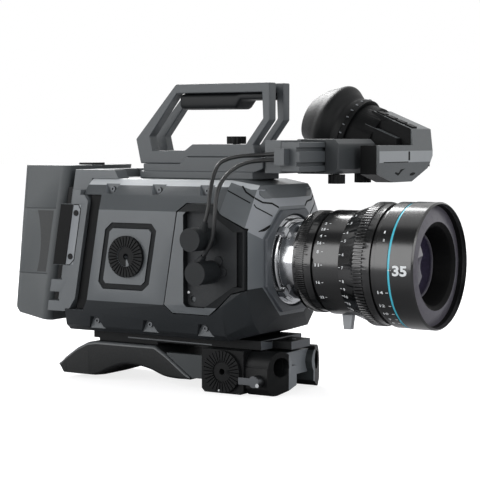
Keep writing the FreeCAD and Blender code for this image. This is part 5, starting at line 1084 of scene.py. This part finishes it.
@dataclass
class Eyecup:
    """Moulded silicone eyecup: a lopsided dome with a fold at its neck and a rolled opening.

    Attributes:
        sections: Distance along the eye axis, reach above it and reach below it.
        start: Distance of the first section from the seat.
        wall, skin: Thickness of the rubber, and how far it stays inside the sections.
        fold: Depth of the fold, its distance from the first section, and its width.
        roll: Radius of the rolled rim.
        neck, lap, hollow: Least radius, shift and number of stations of the hollow.
    """

    eye: Eye
    sections: tuple[tuple[float, float, float], ...] = (
        (0, 31.7, 36.9), (5, 32.9, 36.3), (11, 35.2, 36.6), (19, 39.6, 38.4), (29, 34.9, 33.1),
        (39, 27.9, 26.7), (46, 20.6, 22.8))
    start: float = 5.9
    wall: float = 3.6
    skin: float = 0.15
    fold: Numbers = (1.3, 7.0, 2.2)
    roll: float = 1.8
    neck: float = 17.2
    lap: float = 1.5
    hollow: int = 34

    def build(self) -> None:
        """Carry a circle along the eye axis: out over the dome and back inside the hollow."""
        at, above, below = np.array(self.sections, float).T
        along = np.linspace(0, at[-1], 47)
        top, low = smooth_through(at, above, along), smooth_through(at, below, along)
        depth, place, width = self.fold
        middle = (low - top) / 2
        radius = (top + low) / 2 - self.skin - depth * np.exp(-((along - place) / width) ** 2)
        inward = along[::-1][:self.hollow]
        rim = np.radians(np.linspace(-60, 90, 7)[1:-1])
        roll = self.roll
        station = np.concatenate([along, along[-1] - roll / 2 + roll * np.cos(rim) - roll / 2,
                                  inward - self.lap])
        lift = np.concatenate([middle, np.full(len(rim), middle[-1]),
                               np.interp(inward, along, middle)])
        reach = np.concatenate([radius, radius[-1] - roll - roll * np.sin(rim) + roll / 2,
                                np.maximum(np.interp(inward, along, radius) - self.wall,
                                           self.neck)])[:, None]
        turn = full_turn(96)
        parts = MeshParts()
        parts.add_tube(self.eye.place(self.start + station[:, None], reach * np.sin(turn),
                                      lift[:, None] + reach * np.cos(turn)))
        cup = parts.piece("eyecup_rubber", "evf_head", "eyecup_rubber", EYECUP_RUBBER)
        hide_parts("evf_eyecup")


@dataclass
class Finder:
    """The viewfinder: housing, front, keys, dioptre ring with its ribs, eyecup, arm and clamp.

    Attributes:
        rib_count, rib_reach: Ribs of the dioptre ring, and their foot and top from its axis.
        rib_x, rib_span: A rib's stations along that axis, and its section's angles in degrees.
        roof: Least height and least X of the painted roof.
        band: Heights of the band across the front, which is painted light.
        opening_shades: Lower and upper edge of the painted shade in the front's two openings, and
            their stations.
    """

    eye: Eye = field(default_factory=Eye)
    rib_count: int = 27
    rib_reach: tuple[float, float] = (33.6, 34.5)
    rib_x: Numbers = (3.0, 3.3, 5.0, 5.3)
    rib_span: Numbers = (-1.3, -0.5, 0.5, 1.3)
    roof: tuple[float, float] = (219.0, 46.0)
    band: tuple[float, float] = (193.0, 205.0)
    opening_shades: tuple[tuple[Line, Line, int], ...] = (
        ([(89.7, 85.5, 184.4), (89.5, 92.5, 182.2), (89.7, 96.0, 184.0), (90, 98.5, 186.5)],
         [(89.8, 87.0, 185.6), (89.7, 93.0, 184.6), (90.0, 96.5, 187.8), (90.2, 106.0, 188.4)],
         14),
        ([(89.6, 115.5, 182.0), (89.6, 121, 181.8), (89.7, 126, 183.0)],
         [(89.8, 116.0, 183.6), (89.8, 121, 184.8), (89.8, 126.5, 184.4)], 10))

    def build(self, frame: Frame) -> None:
        """Dress the finder's nodes and add its small pieces."""
        dress(frame,
              HardPart("evf_body", [BLACK_PLASTIC, FINDER_PAINT], 0.7, self.body_region),
              HardPart("evf_front", [FINDER_PAINT, FINDER_BAND_LIGHT], 1.2, self.front_region, 3),
              HardPart("evf_diopter_ring", [BLACK_PLASTIC], 0.5),
              HardPart("evf_clamp", [CLAMP_GREY], 0.8),
              HardPart("evf_arm", [RAIL_GREY], 0.5),
              HardPart("evf_rail", [RAIL_GREY], 0.5),
              HardPart("cord_gland", [RAIL_GREY]))
        Eyecup(self.eye).build()
        self.add_ribs()
        self.add_front_details(frame)

    def body_region(self, centres: Array, normals: Array) -> Array:
        """1 on the roof before the keys, whose grey is partly a painted reflection of the light
        above, else 0.
        """
        low, rear = self.roof
        return ((normals[:, 2] > 0.9) & (centres[:, 2] > low) & (centres[:, 0] > rear)).astype(int)

    def front_region(self, centres: Array, normals: Array) -> Array:
        """1 on the upright band across the front, which is painted light, else 0."""
        return ((normals[:, 0] > 0.995) & between(centres[:, 2], *self.band)).astype(int)

    def add_ribs(self) -> None:
        """Put small grip ribs round the dioptre ring, light grey as their painted highlight."""
        parts = MeshParts()
        foot, top = self.rib_reach
        reach = np.array([foot, top, top, foot])
        for angle in np.arange(self.rib_count) * 2 * math.pi / self.rib_count:
            turn = angle + np.radians(self.rib_span)
            parts.add_tube(self.eye.place(np.array(self.rib_x)[:, None],
                                          reach * np.sin(turn), reach * np.cos(turn)))
        parts.piece("diopter_ribs", "diopter", "black_plastic", PLATE_GREY_AND_HIGHLIGHT)

    def add_front_details(self, frame: Frame) -> None:
        """Lay the front's groove, its slot and the painted shade of its two openings."""
        skin = Skin(frame, "evf_front", "evf_body")
        parts = MeshParts()
        skin.line(parts, [(91, 62, 194.2), (91, 110, 194.2)], 0.8, 0.03)
        skin.line(parts, [(91, 111.6, 203.5), (91, 111.6, 195.6)], 3.2, 0.04)
        for low, high, rows in self.opening_shades:
            skin.patch(parts, low, high, 0.04, rows, 3)
        parts.piece("finder_opening_shades", "evf_head", "evf_paint", GAP_BLACK)


@dataclass
class Body:
    """The camera body: covers, roof, bezel, rear frame, nose trim and the small lamp.

    Attributes:
        shoulder: Least height and greatest X of the covers' upper chamfer.
        under: Greatest height of the nose's shaded underside.
        bezel_half, bezel_front: Half width of the bezel's inside, and X where its rim starts.
        rosette, disc: X and Z of the side rosette, and both radii of its painted disc.
        cover: How far the socket cover lies behind the rear plane.
        strip_side: Y beyond which the port strip's screw heads stand out.
        grooves: The nose's grooves on its right side, each with width and height.
        notch, pad: Lower and upper edge of the notch there, and of half the grip pad.
        outline: The port plate's outline: distance behind the rear plane, and height.
        lamp: The status lamp in the connector bay.
    """

    shoulder: tuple[float, float] = (153.0, -20.0)
    under: float = 95.0
    bezel_half: float = 64.6
    bezel_front: float = 3.0
    rosette: tuple[float, float] = (-90.4, 113.7)
    disc: tuple[float, float] = (2.7, 8.7)
    cover: float = 32.45
    strip_side: float = -60.05
    grooves: tuple[tuple[Line, float, float], ...] = (
        ([(3.4, -51.8, 171.9), (17.6, -52.1, 165.7), (29.0, -48.6, 157.9), (35.0, -31.5, 150.2)],
         1.0, 0.18),
        ([(14.8, -45.5, 175.4), (19.8, -48.3, 170.6), (28.3, -48.7, 165.8), (31.4, -40.6, 161.9),
          (33.7, -29.3, 160.8), (35.3, -21.5, 157.0)], 1.4, 0.2))
    notch: tuple[Line, ...] = (
        [(33.5, -51.0, 137.9), (35.4, -43.8, 138.2), (35.8, -36.0, 141.5)],
        [(33.6, -50.6, 138.6), (35.2, -42.8, 141.2), (35.8, -35.4, 143.6)])
    pad: tuple[Line, ...] = (
        [(28.9, -42.6, 168.2), (31.3, -38.0, 165.2), (32.2, -32.0, 165.0), (33.1, 0.0, 164.8)],
        [(28.8, -42.4, 171.6), (29.4, -33.0, 173.0), (29.6, -16.0, 173.3), (28.9, -5.0, 175.2)])
    outline: Pairs = (
        (32.0, 157.0), (27.0, 157.0), (23.8, 153.0), (23.8, 108.0), (28.0, 103.5), (32.0, 103.5))
    lamp: Stud = Stud((-30.2, -59.0, 85.6), 1.15, 0.9)

    def build(self, frame: Frame) -> None:
        """Dress the body's nodes and lay its trim."""
        facets = [FACET_FINISH[facet] for facet in Facet]
        dress(frame,
              *(HardPart(node, facets, 0.5, self.facet_region)
                for node in ("main_housing", "right_side_cover", "left_side_cover")),
              HardPart("top_cover", [HOUSING_PAINT, EDGE_HIGHLIGHT], 0.9, self.roof_region, 3),
              HardPart("mount_plate", [NOSE_PAINT], 0.7),
              HardPart("connector_bezel", [HOUSING_PAINT, BAY_COAT_AND_SHADE], 0.6, self.bezel_region),
              HardPart("connector_panel", [BAY_FLOOR]),
              HardPart("square_bezel", [BAY_COAT_AND_SHADE], 0.6),
              HardPart("rosettes", [BLACK_ANODISED, HOUSING_PAINT], 0.15, self.disc_region, 1),
              HardPart("rear_frame", [HOUSING_PAINT], 0.8, segments=3),
              HardPart("rear_channel", [BLACK_PLASTIC], 0.5),
              HardPart("port_strip", [PLATE_GREY_AND_HIGHLIGHT, BLACK_PLASTIC, BLACK_ANODISED],
                       0.3, self.port_region),
              *(HardPart(node, [PLUG_BLACK], 0.6) for node in ("plug_upper", "plug_lower")))
        self.add_nose_trim(frame)
        self.add_side_trim(frame)

    def facet_region(self, centres: Array, normals: Array) -> Array:
        """Facet of each face by where it is and how it is turned, which picks its painted shade or
        light.
        """
        low, front_end = self.shoulder
        upper = (normals[:, 2] > 0.35) & (centres[:, 2] > low) & (centres[:, 0] < front_end)
        edge = upper & between(normals[:, 2], 0.65, 0.9)
        lower = (normals[:, 2] < -0.15) | ((centres[:, 0] > 0) & (centres[:, 2] < self.under))
        front = (normals[:, 0] > 0.8) & ~lower
        high = front & between(normals[:, 2], 0.12, 0.4)
        return np.select([lower, high, front, edge, upper],
                         [Facet.LOWER, Facet.HIGH, Facet.FRONT, Facet.EDGE, Facet.UPPER],
                         Facet.SIDE)

    def roof_region(self, centres: Array, normals: Array) -> Array:
        """1 on the roof cover's long rounded edges, which get a painted highlight, else 0."""
        return ((np.abs(normals[:, 1]) > FACING) & (normals[:, 2] > 0.65)).astype(int)

    def bezel_region(self, centres: Array, normals: Array) -> Array:
        """1 on the bezel's inner walls and on its rim beside the nose, which get painted shade,
        else 0.
        """
        inner = (np.abs(centres[:, 1]) < self.bezel_half) & (np.abs(normals[:, 1]) < 0.85)
        return (inner | (centres[:, 0] > self.bezel_front)).astype(int)

    def disc_region(self, centres: Array, normals: Array) -> Array:
        """1 on the painted disc in the middle of the side rosette, else 0."""
        reach = np.hypot(centres[:, 0] - self.rosette[0], centres[:, 2] - self.rosette[1])
        return (between(reach, *self.disc) & (centres[:, 1] < -60)).astype(int)

    def port_region(self, centres: Array, normals: Array) -> Array:
        """1 on the dark socket cover, 2 on the screw heads, else 0."""
        cover = rear_plane(centres[:, 2]) - centres[:, 0] > self.cover
        return np.select([cover, centres[:, 1] < self.strip_side], [1, 2], 0)

    def add_nose_trim(self, frame: Frame) -> None:
        """Lay the nose's grooves and notches on both sides, and the pad across it."""
        nose = Skin(frame, "main_housing", "top_cover")
        dark, pad = MeshParts(), MeshParts()
        for side in (1, -1):
            for points, width, rise in self.grooves:
                nose.line(dark, mirrored(points, side), width, rise)
            nose.patch(dark, *(mirrored(edge, side) for edge in self.notch), 0.05, 8, 3)
        low, high = self.pad
        nose.patch(pad, low + mirrored(low[-2::-1], -1), high + mirrored(high[::-1], -1),
                   0.5, 44, 6)
        dark.piece("nose_seams", "camera", "body_paint", GAP_BLACK)
        pad.piece("nose_grip_pad", "camera", "nose_paint", HOUSING_PAINT)

    def add_side_trim(self, frame: Frame) -> None:
        """Lay the port plate's outline and set the status lamp in the bay."""
        line, lamp = MeshParts(), MeshParts()
        Skin(frame, "rear_frame", "port_strip").line(
            line, [(rear_plane(z) - back, -60.0, z) for back, z in self.outline], 0.9, 0.04)
        line.piece("port_plate_outline", "camera", "frame_paint", GAP_BLACK)
        self.lamp.add_to(lamp)
        lamp.piece("status_lamp", "camera", "black_plastic", LAMP_WHITE)


@dataclass
class Battery:
    """The battery with the finger recess moulded in its sides, laid as a dark patch of painted
    shade.

    Attributes:
        half: Half of its width.
        heights: Lowest and highest station of the recess.
        bow: X, depth, middle height and spacing of the recess's bowed rear edge.
        front: How far its front edge lies behind the rear plane.
    """

    half: float = 50.0
    heights: tuple[float, float] = (95.2, 150.6)
    bow: Numbers = (-197.0, 4.0, 126.0, 28.0)
    front: float = 61.5

    def build(self, frame: Frame) -> None:
        """Dress the case and lay the recesses' painted shade, whose rear edge is a parabola."""
        dress(frame, HardPart("battery_pack", [BATTERY_SHELL], 0.8),
              HardPart("battery_plate", [BLACK_ANODISED]))
        skin = Skin(frame, "battery_pack")
        parts = MeshParts()
        heights = np.linspace(*self.heights, 12)
        rear, depth, middle, spacing = self.bow
        bow = rear - depth * ((heights - middle) / spacing) ** 2
        front = rear_plane(heights) - self.front
        for side in (-self.half, self.half):
            skin.patch(parts, *([(x, side, z) for x, z in zip(edge, heights)]
                                for edge in (bow, front)), 0.08, 24, 5)
        parts.piece("battery_recess_shade", "battery", "battery_shell", BATTERY_RECESS_SHADE)


@dataclass
class Handle:
    """The top handle: two side frames, the rubber grip between them and the base.

    Attributes:
        half, top: Half width of the grip, and height of its upper side.
        floor: X and Z of its underside, which steps up towards the front.
        shrink: X, and how far the section draws in there to round the ends.
        spine, spine_x: Section of the rib along its top, and that rib's stations.
    """

    half: float = 14.0
    top: float = 254.1
    floor: Pairs = (
        (-70.0, 240.0), (-12.5, 240.0), (-7.5, 247.5), (15.5, 247.5))
    shrink: Pairs = (
        (-70.0, 1.6), (-69.4, 0.6), (-68.0, 0.0), (14.5, 0.0), (15.2, 0.6), (15.5, 1.6))
    spine: Pairs = (
        (-5.7, 252.5), (-5.2, 252.0), (5.2, 252.0), (5.7, 252.5), (5.7, 259.6), (5.2, 260.1),
        (-5.2, 260.1), (-5.7, 259.6))
    spine_x: Numbers = (-69.8, -69.2, 14.9, 15.4)

    def build(self, frame: Frame) -> None:
        """Dress the frames and mould the grip."""
        dress(frame, *(HardPart(node, [HANDLE_GREY], 0.9, segments=3) for node in (
            "handle_frame_right", "handle_frame_left", "handle_base")))
        self.mould_grip()

    def mould_grip(self) -> None:
        """Carry a rounded section along the grip: a superellipse of the fourth order."""
        station = np.concatenate([[-70.0, -69.4], np.linspace(-68, -13, 24),
                                  np.linspace(-12, -8, 6), np.linspace(-7, 14.5, 10),
                                  [15.2, 15.5]])[:, None]
        floor = np.interp(station, *np.array(self.floor).T)
        shrink = np.interp(station, *np.array(self.shrink).T)
        cos, sin = np.cos(full_turn(48)), np.sin(full_turn(48))
        across, up = (np.sign(wave) * np.abs(wave) ** 0.5 for wave in (cos, sin))
        parts = MeshParts()
        parts.add_tube(grid_of(station, (self.half - shrink) * across,
                               (self.top + floor) / 2 + ((self.top - floor) / 2 - shrink) * up))
        spine_y, spine_z = np.array(self.spine).T
        parts.add_tube(grid_of(np.array(self.spine_x)[:, None], spine_y, spine_z))
        grip = parts.piece("rubber_grip", "camera", "grip_rubber", GRIP_RUBBER)
        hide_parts("handle_grip")


@dataclass
class Base:
    """The base: plate, block with rosettes, rod clamp, lever and the shoulder pad.

    Attributes:
        floor, crown: X and Z along the pad's underside and its upper side.
        outline_end: X of its front end.
        half, edge: Half of its width, and radius of its rounded side edges.
        ease: Weights that ease the crown's corners.
        keel: Half width of the flat middle of its underside, and how far that climbs outside.
        bridge_half: Half width of the bridge between the rods.
        plate_end, block_rear: X past which the plate's front end and the block's rear are painted.
        plate_edge_highlight: Ends of the painted highlight along the edge of the plate's left
            side.
    """

    floor: Pairs = (
        (-185.2, 11.4), (-181.4, 4.6), (-173.0, 1.1), (-166.0, 0.05), (-156.0, 0.1), (-142.8, 4.4),
        (-131.8, 9.4), (-122.8, 13.0), (-112.8, 15.7), (-98.2, 15.7), (-84.2, 13.2), (-70.4, 8.6),
        (-57.7, 7.3), (-42.1, 7.7))
    crown: Pairs = (
        (-185.2, 11.7), (-178.0, 18.2), (-165.0, 27.2), (-153.0, 33.0), (-143.7, 34.5),
        (-79.9, 34.5), (-68.2, 27.8), (-42.1, 9.3))
    outline_end: float = -42.2
    half: float = 40.0
    edge: float = 2.6
    ease: Numbers = (0.25, 0.5, 0.25)
    keel: tuple[float, float] = (8.0, 4.0)
    bridge_half: float = 21.0
    plate_end: float = 20.0
    block_rear: float = -26.0
    plate_edge_highlight: tuple[Point, Point] = ((-112.0, 34.0, 39.4), (-23.4, 34.0, 38.6))

    def build(self, frame: Frame) -> None:
        """Dress the base's nodes and mould the pad."""
        dress(frame,
              HardPart("base_plate", [BLACK_ANODISED, NOSE_PAINT], 0.8, self.plate_region),
              HardPart("base_block", [BLACK_ANODISED, BASE_GREY_AND_LIGHT], 1.2, self.block_region, 3),
              HardPart("rod_clamp", [BLACK_ANODISED, BASE_GREY_AND_LIGHT, BRIDGE_FRONT_LIGHT],
                       0.8, self.bridge_region))
        self.mould_pad()
        self.add_fittings(frame)

    def add_fittings(self, frame: Frame) -> None:
        """Lay a painted highlight along the plate's sides, and a screw's face and a pin with
        painted glints.
        """
        line = MeshParts()
        plate = Skin(frame, "base_plate")
        for side in (-1, 1):
            plate.line(line, mirrored(self.plate_edge_highlight, side), 1.0, 0.06)
        # A line of the housing's grey: a painted highlight on the plate's edge.
        line.piece("plate_edge_highlight", "camera", "black_anodised", HOUSING_PAINT)
        for name, body, stud in (
                ("rosette_pin", "camera", Stud((-6.7, -49.0, 2.7), 0.8, 0.3)),
                ("lever_screw_face", "rod_lever", Stud((33.6, -53.1, 10.3), 1.7, 0.25))):
            face = MeshParts()
            stud.add_to(face)
            face.piece(name, body, "steel", STEEL_GLINT)

    def plate_region(self, centres: Array, normals: Array) -> Array:
        """1 on the plate's front end, else 0."""
        return ((centres[:, 0] > self.plate_end) & (normals[:, 0] > FACING)).astype(int)

    def block_region(self, centres: Array, normals: Array) -> Array:
        """1 on the rear of the block, behind its rosettes, where grey is painted light, else 0."""
        return (centres[:, 0] < self.block_rear).astype(int)

    def bridge_region(self, centres: Array, normals: Array) -> Array:
        """2 on the front of the bridge between the rods, which is painted light, 1 on the rest of
        it, else 0.
        """
        bridge = np.abs(centres[:, 1]) < self.bridge_half
        return np.select([bridge & (normals[:, 0] > FACING), bridge], [2, 1], 0)

    def rim_region(self, centres: Array, normals: Array) -> Array:
        """1 on the pad's rounded upper edges, which get a painted highlight, else 0."""
        outside = np.abs(centres[:, 1]) > self.half - self.edge - 0.2
        return (outside & (normals[:, 2] > 0.12)).astype(int)

    def mould_pad(self) -> None:
        """Carry a rounded rectangle along X between the outline's floor and its crown.

        At each station the section runs from the floor line to the crown line. Its four corners
        are quarter rounds, and its floor climbs from the keel towards both sides.
        """
        station = np.concatenate([np.linspace(-185.0, -179, 10), np.linspace(-178, -44, 90),
                                  np.linspace(-43.4, self.outline_end, 4)])
        low = smooth_through(*np.array(self.floor).T, station)
        high = np.interp(station, *np.array(self.crown).T)
        high[1:-1] = np.convolve(high, self.ease, "valid")
        thick = np.maximum(high - low, 0.3)
        edge = np.minimum(self.edge, thick * 0.45)[:, None]
        quarter = np.radians(np.linspace(0, 90, 6))
        turn = np.concatenate([quarter + math.radians(90 * k) for k in range(4)])
        sign_y, sign_z = np.repeat([1.0, -1.0, -1.0, 1.0], 6), np.repeat([1.0, 1.0, -1.0, -1.0], 6)
        y = sign_y * (self.half - edge) + edge * np.cos(turn)
        z = (sign_z * (thick[:, None] / 2 - edge) + edge * np.sin(turn)
             + ((low + high) / 2)[:, None])
        flat_y = np.linspace(-1, 1, 17)[1:-1] * (self.half - edge)
        top, bottom = (np.repeat(line[:, None], flat_y.shape[1], axis=1) for line in (high, low))
        y = np.concatenate([y[:, :6], flat_y[:, ::-1], y[:, 6:18], flat_y, y[:, 18:]], axis=1)
        z = np.concatenate([z[:, :6], top, z[:, 6:18], bottom, z[:, 18:]], axis=1)
        keel, rise = self.keel
        climb = np.maximum(np.abs(y) - keel, 0) / (self.half - keel) * rise
        z = np.maximum(z, np.minimum(climb, high[:, None] - 0.2))
        parts = MeshParts()
        parts.add_tube(grid_of(station[:, None], y, z))
        pad = parts.piece("foam_shoulder_pad", "camera", "pad_rubber", PAD_RUBBER, PAD_RIM_HIGHLIGHT)
        paint_regions(pad.data, self.rim_region)
        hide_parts("shoulder_pad")


@dataclass
class Remaining:
    """Every CAD node that no other class has dressed yet.

    Attributes:
        plain: Nodes inside the body, which keep their CAD mesh and get a finish only.
    """

    plain: tuple[str, ...] = ("cooling_fan", "main_board", "sensor_block")

    def build(self, frame: Frame) -> None:
        """Dress the nodes that are still bare by their record slot."""
        for node, part in frame["nodes"].items():
            if part.hide_render:
                continue
            finish = SLOT_FINISH[node_facts(frame, node)[1]]
            if node in self.plain:
                part.data.materials.clear()
                part.data.materials.append(finish.material())
            else:
                HardPart(node, [finish]).build(frame)


def main() -> None:
    """Build the camera's looks, one sub-assembly after another."""
    logging.basicConfig(level=logging.INFO, format="%(name)s: %(message)s")
    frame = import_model()
    Studio().build()
    for run in (
        CordRun("upper", [
            (-0.0032, -0.0750, 0.1465), (-0.0002, -0.0750, 0.1555), (-0.0016, -0.0700, 0.1725),
            (-0.0035, -0.0580, 0.1920), (-0.0030, -0.0450, 0.1975), (0.0036, -0.0320, 0.2003),
            (0.0183, -0.0220, 0.2012), (0.0315, -0.0205, 0.2020)], 0.109),
        CordRun("lower", [
            (-0.0046, -0.0750, 0.1178), (0.0050, -0.0775, 0.1290), (0.0093, -0.0800, 0.1460),
            (0.0092, -0.0785, 0.1620), (0.0090, -0.0740, 0.1750), (0.0108, -0.0640, 0.1855),
            (0.0125, -0.0510, 0.1918), (0.0155, -0.0370, 0.1954), (0.0215, -0.0260, 0.1966),
            (0.0315, -0.0215, 0.1970)], 0.1287),
    ):
        run.build()
    for part in (Body(), Battery(), Handle(), Finder(), Lens(), Base(), Remaining()):
        part.build(frame)


if __name__ == "__main__":
    main()
